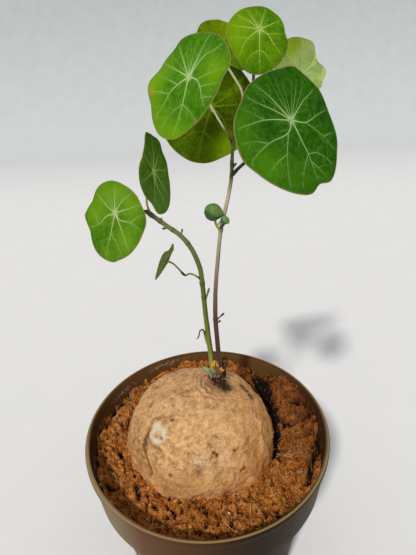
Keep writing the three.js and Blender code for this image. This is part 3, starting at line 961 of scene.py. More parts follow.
class Leaf:
    """Builds one leaf from its shape."""

    rings = tuple(np.concatenate([np.linspace(0, 0.93, 26), [0.955, 0.975, 0.99, 1.0]]))
    sectors = 132
    thickness = 0.27
    margin_thickness = 0.16
    lead = 2.5
    reach = 0.95
    vein_reach = 0.94
    shortest_vein = 0.8
    vein_step = 1.1
    twig_every = 3
    stout = (VeinRank.MAIN, VeinRank.FORK)

    def __init__(self, shape: LeafShape, seed: int) -> None:
        """Works out the leaf's frame, outline and veins.

        Args:
            shape: The leaf's shape.
            seed: Seed for its small veins.
        """
        self.shape = shape
        self.draw = Random(seed)
        bearing, tilt = (radians(angle) for angle in shape.facing)
        level = cos(tilt)
        self.normal = Vector((sin(bearing) * level, -cos(bearing) * level, sin(tilt)))
        self.up = (Vector((0, 0, 1)) - self.normal * self.normal.z).normalized()
        self.side = self.up.cross(self.normal)
        self.degrees = np.arange(0, 360.5, 0.5)
        self.radii = np.array([self._outline_at(d % 360) for d in self.degrees])
        self.net: list[tuple[VeinRank, np.ndarray]] = []
        self._lay_veins()

    def _outline_at(self, degrees: float) -> float:
        """Radius of the outline at an angle, a smooth closed curve through its pairs.

        Args:
            degrees: The angle from the blade's own right-hand side.

        Returns:
            The radius in millimetres.
        """
        outline = self.shape.outline
        count = len(outline)
        i = max(k for k in range(count) if outline[k][0] <= degrees)
        (a0, r0), (a1, r1), (a2, r2), (a3, r3) = (
            (outline[k % count][0] + 360 * (k // count), outline[k % count][1])
            for k in range(i - 1, i + 3)
        )
        span = a2 - a1
        t = (degrees - a1) / span
        slope1 = span * (r2 - r0) / (a2 - a0)
        slope2 = span * (r3 - r1) / (a3 - a1)
        return (
            (2 * t**3 - 3 * t**2 + 1) * r1
            + (t**3 - 2 * t**2 + t) * slope1
            + (3 * t**2 - 2 * t**3) * r2
            + (t**3 - t**2) * slope2
        )

    def outline(self, angle: np.ndarray | float) -> np.ndarray | float:
        """Radius of the outline at angles in radians."""
        return np.interp(np.degrees(angle) % 360, self.degrees, self.radii)

    def _grow(
        self, start: np.ndarray, angle: float, length: float, turn: float, steps: int = 4
    ) -> np.ndarray:
        """A short curved run inside the outline.

        Args:
            start: Its first point.
            angle: Its first direction in radians.
            length: Its length.
            turn: How far it turns in all.
            steps: Spans.

        Returns:
            Its points, as far as the outline allows.
        """
        points = [start]
        for k in range(steps):
            heading = angle + turn * k / steps
            step = points[-1] + length / steps * np.array([cos(heading), sin(heading)])
            if np.hypot(*step) > self.reach * self.outline(atan2(step[1], step[0])):
                break
            points.append(step)
        return np.array(points)

    def _to_margin(self, points: np.ndarray) -> np.ndarray:
        """Runs a vein on from its last point to near the margin.

        Args:
            points: The vein's points.

        Returns:
            The longer vein.
        """
        if len(points) < 2:
            return points
        ahead = points[-1] - points[-2]
        outward = points[-1] / max(1e-6, np.hypot(*points[-1]))
        heading = ahead / np.hypot(*ahead) * 0.6 + outward * 0.4
        tail = self._grow(points[-1], atan2(heading[1], heading[0]), 9.0, 0.2, 9)
        return np.concatenate([points, tail[1:]])

    def _lay(self, rank: VeinRank, points: np.ndarray) -> None:
        """Adds a vein with its evenly spaced points.

        Args:
            rank: Its rank.
            points: Points that it passes.
        """
        if len(points) < 2:
            return
        length = float(np.sum(np.hypot(*np.diff(points, axis=0).T)))
        if length < self.shortest_vein:
            return
        spans = max(3, round(length / self.vein_step))
        track = smooth_path([(x, y, 0.0) for x, y in points], spans)
        places = np.array([(p.x, p.y) for p in track])
        out = np.hypot(*places.T)
        limit = self.vein_reach * self.outline(np.arctan2(places[:, 1], places[:, 0]))
        places *= np.minimum(1.0, limit / np.maximum(out, 1e-6))[:, None]
        self.net.append((rank, places))

    def _lay_veins(self) -> None:
        """Lays the main veins, their forks, the fan of fine veins and the twigs."""
        written = self.shape.veins or self._usual_veins()
        for text in written:
            polar = [tuple(map(float, pair.split(":"))) for pair in text.lstrip("*").split()]
            turned = [(radians(a), r) for a, r in polar]
            points = [np.array([r * cos(a), r * sin(a)]) for a, r in turned]
            fork = text.startswith("*")
            if not fork:
                points.insert(0, np.zeros(2))
            self._lay(VeinRank.FORK if fork else VeinRank.MAIN, self._to_margin(np.array(points)))
        first, last, count = self.shape.fan
        for k in range(count):
            angle = radians(first + (last - first) * (k + self.draw.uniform(0.2, 0.8)) / count)
            length = self.outline(angle) * self.draw.uniform(0.7, 0.9)
            turn = self.draw.uniform(-0.12, 0.12)
            self._lay(VeinRank.FAN, self._grow(np.zeros(2), angle, length, turn, 6))
        for rank, points in list(self.net):
            if rank is VeinRank.FAN:
                continue
            for k in range(3, len(points) - 2, self.twig_every):
                ahead = points[k + 1] - points[k]
                heading = atan2(ahead[1], ahead[0])
                hand = self.draw.choice((-1, 1))
                angle = heading + hand * self.draw.uniform(0.7, 1.15)
                turn = -hand * self.draw.uniform(0.2, 0.7)
                twig = self._grow(points[k], angle, self.draw.uniform(2.0, 5.0), turn)
                self._lay(VeinRank.TWIG, twig)

    def _usual_veins(self) -> list[str]:
        """Veins of a leaf whose own can't be seen: nine rays, each forked once.

        Returns:
            The veins in the form that a shape writes them.
        """
        rays = 9
        written = []
        for k in range(rays):
            angle = 270 + 360 * k / rays + self.draw.uniform(-8, 8)
            edge = float(self.outline(radians(angle)))
            bow = self.draw.uniform(-9, 9)
            middle = f"{angle + bow:.0f}:{0.52 * edge:.1f}"
            end = f"{angle + 1.4 * bow:.0f}:{0.8 * edge:.1f}"
            written.append(f"{angle:.0f}:{0.28 * edge:.1f} {middle} {end}")
            fork = angle + bow + (22 if bow < 0 else -22)
            written.append(f"*{middle} {fork:.0f}:{0.82 * edge:.1f}")
        return written

    def near_vein(self, x: np.ndarray, y: np.ndarray, ranks: Sequence[VeinRank]) -> np.ndarray:
        """Distance to the nearest vein of some ranks.

        Args:
            x: Places across the blade.
            y: Places along the blade.
            ranks: The ranks that count.

        Returns:
            Distances in millimetres.
        """
        best = np.full(len(x), 99.0)
        for rank, points in self.net:
            if rank not in ranks:
                continue
            for (ax, ay), (bx, by) in zip(points, points[1:]):
                dx, dy = bx - ax, by - ay
                t = np.clip(((x - ax) * dx + (y - ay) * dy) / max(1e-9, dx * dx + dy * dy), 0, 1)
                best = np.minimum(best, np.hypot(x - ax - t * dx, y - ay - t * dy))
        return best

    def height(self, x: np.ndarray, y: np.ndarray) -> np.ndarray:
        """Rise of the blade's middle over its plane: bend, waved margin and soft quilting.

        Args:
            x: Places across the blade.
            y: Places along the blade.

        Returns:
            Heights in millimetres.
        """
        bend, (folds, wave, turn) = self.shape.bend, self.shape.ripple
        angle = np.arctan2(y, x)
        distance = np.hypot(x, y)
        share = distance / self.outline(angle)
        ripple = wave * share**3 * np.sin(folds * angle + radians(turn))
        quilt = 0.3 * (1 - bell(self.near_vein(x, y, self.stout), 1.7))
        quilt = quilt * np.clip(share * 2.5, 0, 1) * np.clip((1.02 - share) * 6, 0, 1)
        dimple = -0.35 * bell(distance, 1.5)
        return bend[0] * (x / 10) ** 2 + bend[1] * (y / 10) ** 2 + ripple + quilt + dimple

    def world(self, x: float, y: float, z: float) -> Vector:
        """A point of the leaf's own frame in the row frame."""
        x, y, z = float(x), float(y), float(z)
        return Vector(self.shape.joint) + x * self.side + y * self.up + z * self.normal

    def build(self) -> Object:
        """Makes the leaf's piece: blade, veins and stalk.

        Returns:
            The piece.
        """
        shape, tone = self.shape, self.shape.tone
        name = shape.name
        shared = {"vein": tone.vein, "margin": tone.margin, "net": tone.net}
        upper = BladeFinish(f"{name}_upper", tone.deep, tone.fresh, tone.glow, **shared).build()
        unders = (tone.under_deep, tone.under_fresh, tone.under_glow)
        under = BladeFinish(f"{name}_under", *unders, roughness=0.6, **shared).build()
        seen = tone.under_fresh if shape.slot is Slot.LEAF_UNDERSIDE else tone.fresh
        faint = tuple(0.4 * a + 0.6 * b for a, b in zip(tone.vein_far, seen))
        vein = VeinFinish(f"{name}_vein", tone.vein, tone.vein_far, faint).build()
        stalk = StalkFinish(f"{name}_stalk", tone.stalk).build()
        model = Model(name, ("along", "halo", "heart", "glow", "margin", "stain", "scar", "shade"))
        self._blade(model, upper, under)
        self._veins(model, vein)
        self._stalk(model, stalk)
        return model.finish([name], shape.slot)

    def _blade(self, model: Model, upper: Material, under: Material) -> None:
        """Spins a disc, warps it to the outline and gives it two faces.

        Args:
            model: The piece.
            upper: Material of the upper face.
            under: Material of the underside.
        """
        bm = model.bm
        spin(bm, [(share, 0) for share in self.rings], self.sectors, 1e-5)
        plane = np.array([vert.co for vert in bm.verts])
        share = np.hypot(plane[:, 0], plane[:, 1])
        angle = np.arctan2(plane[:, 1], plane[:, 0])
        radius = share * self.outline(angle)
        x, y = radius * np.cos(angle), radius * np.sin(angle)
        height = self.height(x, y)
        strong = bell(self.near_vein(x, y, self.stout), 0.55)
        weak = 0.5 * bell(self.near_vein(x, y, (VeinRank.FAN, VeinRank.TWIG)), 0.5)
        marks = {
            "halo": np.maximum(strong, weak) * (1.15 - 0.5 * share),
            "heart": 0.85 * bell(radius, 1.25),
            "margin": np.clip((share - 0.985) / 0.012, 0, 1),
        }
        for mark, patches in (("glow", self.shape.glow), ("stain", self.shape.stain)):
            marks[mark] = np.clip(sum((p.on(x, y) for p in patches), np.zeros(len(x))), 0, 1)
        for i, vert in enumerate(bm.verts):
            vert.co = (x[i], y[i], height[i])
            for mark, values in marks.items():
                vert[model.marks[mark]] = values[i]
        sheet = list(bm.faces)
        bmesh.ops.recalc_face_normals(bm, faces=sheet)
        if sum(face.normal.z for face in sheet) < 0:
            bmesh.ops.reverse_faces(bm, faces=sheet)
        top_verts = list(bm.verts)
        inward = np.clip((1 - share) * 14, 0, 1)
        thick = self.margin_thickness + (self.thickness - self.margin_thickness) * inward
        copied = bmesh.ops.duplicate(bm, geom=[*top_verts, *bm.edges, *sheet])
        twin = copied["vert_map"]
        low_faces = [g for g in copied["geom"] if isinstance(g, bmesh.types.BMFace)]
        bmesh.ops.reverse_faces(bm, faces=low_faces)
        for i, vert in enumerate(top_verts):
            twin[vert].co.z -= thick[i] / 2
            vert.co.z += thick[i] / 2
        rims = [edge for edge in bm.edges if edge.is_boundary]
        bmesh.ops.bridge_loops(bm, edges=rims)
        top, low = model.slot(upper), model.slot(under)
        below = set(low_faces)
        for face in bm.faces:
            face.smooth = True
            face.material_index = low if face in below else top
        turn = Matrix((self.side, self.up, self.normal)).transposed().to_4x4()
        bmesh.ops.transform(bm, matrix=Matrix.Translation(self.shape.joint) @ turn, verts=bm.verts)

    def _veins(self, model: Model, material: Material) -> None:
        """Lays a rib along each vein, through the blade so that it stands out on both faces.

        Args:
            model: The piece.
            material: The ribs' material.
        """
        for rank, points in self.net:
            heights = self.height(points[:, 0], points[:, 1])
            path = [tuple(self.world(x, y, z)) for (x, y), z in zip(points, heights)]
            thick, thin, start, end = rank.value
            radii = (thick, (thick + thin) / 2, thin, thin * 0.97)
            if rank is VeinRank.MAIN:
                radii = (thick * 1.25, thick, (thick + thin) / 2, thin, thin * 0.97)
            model.tube(path, radii, material, len(path) - 1, 6, (start, end))

    def _stalk(self, model: Model, material: Material) -> None:
        """Runs the stalk from the stem to the blade's joint.

        Args:
            model: The piece.
            material: The stalk's material.
        """
        radius = self.shape.stalk_radius
        lead = tuple(self.world(0, 0, -self.lead))
        path = [*self.shape.stalk, lead, tuple(self.world(0, 0, -0.25))]
        radii = [radius * share for share in (1.35, 1.02, 1, 1, 1, 1, 0.95, 1.1)]

        def knotted(share: float, angle: float) -> float:
            """Factor on the radius round a knot, by share of the length and angle."""
            lumps = 0.06 * noise.noise(Vector((share * 9, cos(angle), 3)))
            return 1 + lumps + 0.45 * bell(share - self.shape.knot, 0.07)

        model.tube(path, radii, material, 40, 12, swell=knotted)


GREEN_STALK = (
    (0.0, (0.07, 0.085, 0.015)), (0.45, (0.15, 0.19, 0.03)), (0.8, (0.28, 0.33, 0.09)),
    (1.0, (0.44, 0.47, 0.2)),
)
# The cream parts of these three stalks are brighter than their own cream, as painted light where
# they lie in the leaves' shade.
CREAM_STALK = (
    (0.0, (0.10, 0.085, 0.010)), (0.3, (0.10, 0.08, 0.008)), (0.62, (0.16, 0.13, 0.015)),
    (0.73, (0.24, 0.22, 0.05)), (0.78, (0.90, 0.88, 0.48)), (1.0, (0.98, 0.96, 0.66)),
)
EARLY_CREAM_STALK = (
    (0.0, (0.12, 0.10, 0.03)), (0.13, (0.20, 0.16, 0.05)), (0.20, (0.34, 0.30, 0.11)),
    (0.28, (0.94, 0.91, 0.56)), (1.0, (1.0, 0.98, 0.68)),
)
BRIGHT_STALK = (
    (0.0, (0.08, 0.09, 0.02)), (0.25, (0.24, 0.24, 0.09)), (0.4, (0.62, 0.58, 0.36)),
    (1.0, (0.70, 0.66, 0.45)),
)
FRESH_STALK = ((0.0, (0.17, 0.18, 0.04)), (0.2, (0.34, 0.38, 0.07)), (1.0, (0.44, 0.47, 0.18)))
DARK_STALK = ((0.0, (0.045, 0.045, 0.014)), (0.6, (0.08, 0.10, 0.02)), (1.0, (0.16, 0.22, 0.06)))
KNOTTED_STALK = (
    (0.0, (0.02, 0.018, 0.01)), (0.08, (0.04, 0.035, 0.014)), (0.16, (0.19, 0.22, 0.045)),
    (0.36, (0.17, 0.19, 0.04)), (0.44, (0.03, 0.024, 0.012)), (0.55, (0.05, 0.04, 0.018)),
    (0.64, (0.16, 0.19, 0.04)), (1.0, (0.26, 0.30, 0.11)),
)

BRIGHT = LeafTone(
    deep=(0.030, 0.130, 0.001), fresh=(0.070, 0.215, 0.002), glow=(0.155, 0.310, 0.002),
    vein=(0.42, 0.56, 0.22), stalk=EARLY_CREAM_STALK, vein_far=(0.22, 0.40, 0.07),
)
ROUND_BRIGHT = LeafTone(
    deep=(0.035, 0.120, 0.001), fresh=(0.070, 0.190, 0.003), glow=(0.135, 0.280, 0.005),
    vein=(0.42, 0.55, 0.22), stalk=GREEN_STALK, vein_far=(0.20, 0.37, 0.07), net=0.18,
)
LIME = LeafTone(
    deep=(0.042, 0.140, 0.0005), fresh=(0.095, 0.235, 0.001), glow=(0.160, 0.315, 0.001),
    vein=(0.42, 0.56, 0.12), stalk=GREEN_STALK, vein_far=(0.24, 0.40, 0.012),
)
DEEP = LeafTone(
    deep=(0.008, 0.060, 0.0005), fresh=(0.026, 0.120, 0.001), glow=(0.062, 0.195, 0.002),
    vein=(0.36, 0.52, 0.20), under_deep=(0.08, 0.16, 0.02), under_fresh=(0.13, 0.22, 0.04),
    under_glow=(0.2, 0.28, 0.05), stalk=DARK_STALK, vein_far=(0.15, 0.31, 0.06), net=0.13,
)
TURNED = LeafTone(
    deep=(0.034, 0.105, 0.001), fresh=(0.085, 0.205, 0.005), glow=(0.10, 0.22, 0.03),
    vein=(0.40, 0.52, 0.14), under_deep=(0.07, 0.13, 0.02), under_fresh=(0.11, 0.18, 0.04),
    under_glow=(0.2, 0.28, 0.05), stalk=FRESH_STALK, vein_far=(0.17, 0.30, 0.06),
)
SMALL = LeafTone(
    deep=(0.10, 0.165, 0.018), fresh=(0.21, 0.29, 0.05), glow=(0.2, 0.26, 0.07),
    vein=(0.32, 0.40, 0.16), under_deep=(0.06, 0.11, 0.012), under_fresh=(0.12, 0.17, 0.03),
    under_glow=(0.18, 0.24, 0.06), stalk=KNOTTED_STALK, vein_far=(0.18, 0.25, 0.07),
    margin=(0.20, 0.22, 0.07),
)
OLIVE = LeafTone(
    deep=(0.03, 0.09, 0.003), fresh=(0.06, 0.15, 0.005), glow=(0.12, 0.22, 0.006),
    vein=(0.21, 0.28, 0.01), under_deep=(0.028, 0.066, 0.0005), under_fresh=(0.075, 0.135, 0.001),
    under_glow=(0.28, 0.48, 0.002), stalk=CREAM_STALK, vein_far=(0.14, 0.22, 0.004),
)
OLIVE_LIGHT = LeafTone(
    deep=(0.05, 0.14, 0.004), fresh=(0.09, 0.21, 0.006), glow=(0.14, 0.24, 0.008),
    vein=(0.22, 0.32, 0.02), under_deep=(0.10, 0.215, 0.001), under_fresh=(0.19, 0.33, 0.002),
    under_glow=(0.36, 0.5, 0.003), stalk=BRIGHT_STALK, vein_far=(0.26, 0.38, 0.006),
)
PALE = LeafTone(
    deep=(0.04, 0.12, 0.004), fresh=(0.08, 0.20, 0.012), glow=(0.14, 0.25, 0.01),
    vein=(0.55, 0.66, 0.34), under_deep=(0.34, 0.50, 0.10), under_fresh=(0.50, 0.66, 0.21),
    under_glow=(0.32, 0.46, 0.02), stalk=GREEN_STALK, vein_far=(0.50, 0.66, 0.24),
    margin=(0.26, 0.12, 0.045),
)

LEAVES = (
    LeafShape(
        "leaf_left", Slot.LEAF_BRIGHT, (-29.2, -6, 218.6), (-30, 20),
        ((0, 15), (25, 12.5), (50, 11), (90, 11.5), (130, 13), (160, 11), (180, 13.5), (190, 15),
         (220, 13.5), (250, 18), (270, 18.5), (280, 17.5), (305, 16.5), (335, 14.5)),
        (0.3, -0.2), (5, 0.8, 30),
        ((-18.6, 1, 216.4), (-20.6, 0.3, 216.9), (-23.2, -1.4, 217.9), (-26.2, -3.2, 218.3)), 0.6,
        ROUND_BRIGHT,
        veins=(
            "261:7.7 259:15.2", "319:3.3 341:7.9 340:13.3", "*341:7.9 1:11.7", "305:5 303:10.2",
            "21:4.8 20:11.3", "60:5 53:9.1", "203:4.2 215:8.8 212:11.6", "*215:8.8 184:9.9",
            "150:4 146:8.6", "98:5 96:9.5", "*261:7.7 285:13",
        ),
        fan=(62, 140, 7),
        glow=(Patch(302, 11, 6, 0.7), Patch(185, 9, 5, 0.8), Patch(262, 17, 4, 0.5),
              Patch(80, 8, 5, 0.8), Patch(20, 9, 5, 0.8), Patch(130, 8, 5, 0.6)),
    ),
    LeafShape(
        "leaf_turned", Slot.LEAF_DARK, (-14.1, 0, 231.8), (65, 5),
        ((0, 9), (35, 10), (50, 12), (75, 12.6), (88, 13.5), (98, 14.2), (107, 11.4), (118, 9.5),
         (135, 8.5), (180, 11.5), (210, 11), (230, 11), (245, 12), (260, 15.5), (290, 16),
         (325, 12), (340, 10)),
        (0.4, 0.1), (4, 0.4, 80),
        ((-16.8, 1.3, 214.8), (-17.8, 1.2, 217.6), (-18.1, 1, 220.2), (-17.6, 1.1, 224),
         (-17, 1.4, 228)),
        0.42, TURNED,
        veins=(
            "273:5.3 282:10.1 281:14.7", "253:6.8 250:12.2", "305:5.7 301:12.4", "189:5.2 190:8.0",
            "77:5.4 81:9.7", "1:3 349:8.5", "49:5.3 46:10.7", "125:4.7 122:7",
        ),
        fan=(60, 120, 3), glow=(Patch(267, 11, 6, 0.5), Patch(300, 10, 6, 0.3)),
    ),
    LeafShape(
        "leaf_small", Slot.LEAF_DARK, (-12.5, 3, 194.2), (-88, 30),
        ((0, 5.6), (45, 5.9), (75, 5.7), (100, 6.3), (115, 7.6), (127, 5.7), (142, 4.8), (160, 5.3),
         (180, 6.2), (225, 8), (270, 9.8), (315, 7.7)),
        (5.2, 0.8), (3, 0.3, 0),
        ((0.9, 5.1, 183.9), (-0.6, 5, 185.3), (-3.6, 4.6, 187.1), (-5.6, 4.3, 186.6),
         (-8, 3.7, 189.8)),
        0.38, SMALL, knot=0.5,
    ),
    LeafShape(
        "leaf_front_left", Slot.LEAF_BRIGHT, (0.9, -6, 262.8), (-42, 30),
        ((0, 13.8), (25, 15.5), (65, 15), (90, 15.5), (125, 15), (137, 14.5), (155, 16.3),
         (170, 16.5), (185, 18.5), (210, 17.5), (230, 19.5), (270, 20.5), (295, 16.5), (315, 15),
         (340, 15)),
        (-0.2, -0.3), (5, 0.8, 200),
        ((16.5, 10.3, 240.2), (14, 8, 242.8), (11.7, 6.4, 246.3), (8.1, 3.6, 252.7),
         (5.5, -0.2, 256.9)), 0.39,
        BRIGHT,
        veins=(
            "274:8.9 272:14.5 271:17.1", "*274:8.9 253:12.7", "*274:8.9 293:12.4",
            "212:4.7 218:9.0 225:11.1 228:14.9", "*212:4.7 177:13.9", "*218:9.0 199:14.6",
            "345:4.0 332:6.8 320:10.5 316:13.8", "*345:4.0 3:6.3 12:11.5", "*332:6.8 352:13.6",
            "*320:10.5 331:13.0", "58:8.0 47:11.6", "77:6 79:11.3", "160:5.1 159:11.1",
            "131:3.8 129:11.5",
        ),
        fan=(50, 150, 8),
        glow=(Patch(192, 17, 5, 0.9), Patch(250, 18, 5, 0.7), Patch(275, 19, 4, 0.6),
              Patch(12, 10, 5, 0.75), Patch(165, 13, 5, 0.5), Patch(225, 18, 5, 0.6)),
        stain=(Patch(199, 16.5, 0.8, 0.9), Patch(297, 15, 0.5, 0.75)),
    ),
    LeafShape(
        "leaf_back_left", Slot.LEAF_UNDERSIDE, (8.7, 26, 251.1), (175, 12),
        ((0, 19.5), (60, 17), (110, 18), (145, 17.5), (180, 18.5), (215, 20), (240, 20.7),
         (262, 21.5), (280, 23.4), (300, 24.8), (330, 23.5)),
        (0.2, -0.3), (6, 0.7, 60),
        ((15.8, 10.1, 238.2), (14.2, 11.8, 242.2), (12.2, 14.6, 245.6), (10.2, 19, 248.4)), 0.34,
        OLIVE,
        veins=(
            "291:10.5 290:15.8 288:20.2", "*291:10.5 269:14.2 260:18", "*291:10.5 311:13.9 315:20",
            "150:5 152:13.1", "178:5.4 179:10.7", "229:6.8 238:10.5 241:14", "*229:6.8 212:10.1",
            "100:6 103:12", "50:6 48:12", "10:6 5:13", "335:6 338:13",
        ),
        glow=(Patch(252, 19.5, 5.5, 1.0), Patch(240, 16, 5, 0.4), Patch(131, 10.4, 5, 0.4),
              Patch(290, 19, 7, 0.12)), knot=0.86,
    ),
    LeafShape(
        "leaf_back_top", Slot.LEAF_UNDERSIDE, (11.1, 16, 272), (190, 20),
        ((0, 8.2), (33, 8.6), (52, 9.5), (85, 8.5), (115, 8.1), (160, 10.5), (195, 12.5),
         (218, 14.5), (231, 8.8), (270, 9), (320, 8.5)),
        (0.6, -0.6), (4, 0.5, 20),
        ((19.5, 11.4, 245.6), (19.5, 12, 250), (19.9, 12, 254), (19.6, 12.1, 257),
         (17.5, 12.5, 260.7), (14.8, 13.3, 264.9), (12.8, 13.7, 268.4)), 0.43,
        OLIVE_LIGHT, glow=(Patch(125, 6.5, 5, 0.8), Patch(160, 9, 4, 0.5)),
    ),
    LeafShape(
        "leaf_top", Slot.LEAF_BRIGHT, (25.6, 10, 276.2), (12, 20),
        ((0, 9), (25, 8.8), (55, 7.5), (90, 7.5), (130, 8.5), (180, 11.7), (225, 13), (250, 14.7),
         (270, 14.5), (305, 12.5), (330, 11.5), (350, 9.2)),
        (-0.3, -0.3), (5, 0.4, 120),
        ((22.9, 12, 250.2), (23.3, 12, 254), (23.8, 11.9, 260.5), (24.4, 12.2, 269)), 0.55,
        LIME,
        veins=(
            "264:6.8 265:14.3", "*264:6.8 243:9.6 242:11.9", "*264:6.8 278:7.9 285:10.5 289:13.2",
            "213:5 219:8.3 225:11", "*213:5 193:9.6", "327:3 314:6.4 311:10.1", "*327:3 346:7.5",
            "171:5.2 169:10.4", "144:5.1 149:9.1", "122:2.5 122:5.5", "67:1.5 67:3.8",
            "18:4.1 18:8.9",
        ),
        fan=(30, 120, 5),
        glow=(Patch(154, 6, 5, 0.8), Patch(195, 9, 5, 0.8), Patch(300, 8, 4, 0.3),
              Patch(225, 12, 4, 0.5)),
    ),
    LeafShape(
        "leaf_back_right", Slot.LEAF_UNDERSIDE, (45, 28, 261.3), (195, 25),
        ((0, 12.5), (30, 15), (55, 16.5), (80, 13.9), (102, 10.8), (120, 8), (135, 7.1), (158, 8.4),
         (178, 10.6), (195, 9.7), (211, 11), (250, 12), (300, 13)),
        (-0.4, -0.5), (6, 1, 150),
        ((21.2, 11.8, 247.8), (24.4, 13.8, 249.2), (32, 17.8, 252.4), (39, 21.5, 255.8)), 0.55,
        PALE,
        veins=(
            "45:5.1 42:11.3", "98:2.5 98:6.1", "136:2 136:4.3 146:6.2", "75:4 73:10", "178:4 180:8",
            "220:4 224:9", "270:4 268:9", "320:5 318:10", "5:5 3:10",
        ),
        glow=(Patch(57, 14.5, 4.5, 1.0), Patch(45, 13, 3.5, 0.5)),
    ),
    LeafShape(
        "leaf_front_right", Slot.LEAF_DARK, (33.9, -10, 248.6), (25, 25),
        ((0, 18), (40, 16.5), (55, 17.5), (70, 19.5), (90, 17.5), (110, 17), (135, 18), (155, 18.3),
         (180, 21.5), (205, 22.5), (225, 21.7), (265, 24.3), (279, 24.9), (290, 23.3), (302, 25.1),
         (325, 20.2)),
        (-0.35, -0.3), (5, 0.9, 250),
        ((15.6, 9.9, 227.2), (17.8, 7.6, 230), (22, 3.6, 234.6), (28, -2.5, 241.6)), 0.65,
        DEEP,
        veins=(
            "174:10.2 180:17.1 183:21.7", "*174:10.2 163:16.4", "147:7.9 148:13.7 145:17.9",
            "128:10.5 130:17", "44:9.1 41:11.7", "348:5.6 6:11.4", "*348:5.6 331:13.4 324:18.4",
            "*331:13.4 340:16.4", "239:4.5 212:12 213:20.1 218:22.8", "*212:12 199:15.8 195:20.7",
            "*239:4.5 248:11.4 253:18.2 256:22.7", "*248:11.4 235:16.5 233:22.3",
            "289:8.3 290:12.2 289:19.4 290:22.5", "*290:12.2 305:14.1 310:17.8",
            "*290:12.2 275:16.2 271:19.5", "*290:15 298:20.8",
        ),
        fan=(52, 142, 8),
        glow=(Patch(192, 21, 6, 0.7), Patch(228, 18, 6, 0.8), Patch(262, 20, 6, 0.55),
              Patch(290, 21, 6, 0.35), Patch(168, 17, 5, 0.5)),
    ),
)


# Stems and shoots


@dataclass(frozen=True)
class Spur:
    """A short stub on a stem."""

    path: tuple[Point, ...]
    radius: float
    tip_dark: bool = True
    knob: float = 1.15


@dataclass(frozen=True)
class Joint:
    """A ring or scar on a stem, at a share of its length."""

    share: float
    swell: float
    width: float = 0.008


@dataclass
class Stem:
    """One stem with its joints and spurs."""

    name: str
    slot: Slot
    path: tuple[Point, ...]
    radii: tuple[float, ...]
    finish: StalkFinish
    joints: tuple[Joint, ...] = ()
    spurs: tuple[Spur, ...] = ()
    # Share of the length over which the stem's right side carries painted shade.
    painted_shade_span: Pair = (0.0, 1.0)
    steps: int = 150
    sides: int = 20

    def _swell(self, share: float, angle: float) -> float:
        """Factor on the radius: joints, faint ridges and slight unevenness.

        Args:
            share: Share of the length.
            angle: Angle round the stem.

        Returns:
            The factor.
        """
        ridges = 0.035 * sin(5 * angle + 4 * share) + 0.02 * sin(9 * angle - 7 * share)
        uneven = 0.05 * noise.noise(Vector((share * 22, cos(angle), sin(angle))))
        rings = sum(j.swell * exp(-(((share - j.share) / j.width) ** 2)) for j in self.joints)
        return 1 + ridges + uneven + rings

    def build(self) -> Object:
        """Makes the stem's piece.

        Returns:
            The piece.
        """
        material = self.finish.build()
        model = Model(self.name, ("along", "scar", "shade"))
        verts = model.tube(
            self.path, self.radii, material, self.steps, self.sides, swell=self._swell
        )
        along, scar, shade = model.marks.values()
        middles = smooth_path(self.path, self.steps)
        for vert in verts:
            share = vert[along]
            rings = (exp(-(((share - j.share) / (0.8 * j.width)) ** 2)) for j in self.joints)
            vert[scar] = 0.8 * max(rings) * (0.6 + 0.4 * noise.noise(vert.co * 2))
            # The shade mark paints shade on the side facing +x, away from the light, within that
            # span.
            out = vert.co - middles[round(share * self.steps)]
            low, high = ((share - self.painted_shade_span[0]) / 0.06, (self.painted_shade_span[1] - share) / 0.06)
            vert[shade] = clamp(low) * clamp(high) * max(0.0, out.x / max(0.1, out.length))
        stations = smooth_path(self.path, 60)
        for spur in self.spurs:
            root = Vector(spur.path[0])
            at = min(range(61), key=lambda k: (stations[k] - root).length) / 60
            thick = spur.radius
            radii = (1.35 * thick, thick, 0.85 * thick, 0.9 * thick, spur.knob * thick, 0.6 * thick)
            stub = model.tube(spur.path, radii, material, 10, 8, (at, at))
            tip = Vector(spur.path[-1])
            for vert in stub if spur.tip_dark else ():
                vert[scar] = 0.9 * bell((vert.co - tip).length, 1.3)
        return model.finish([self.name], self.slot)


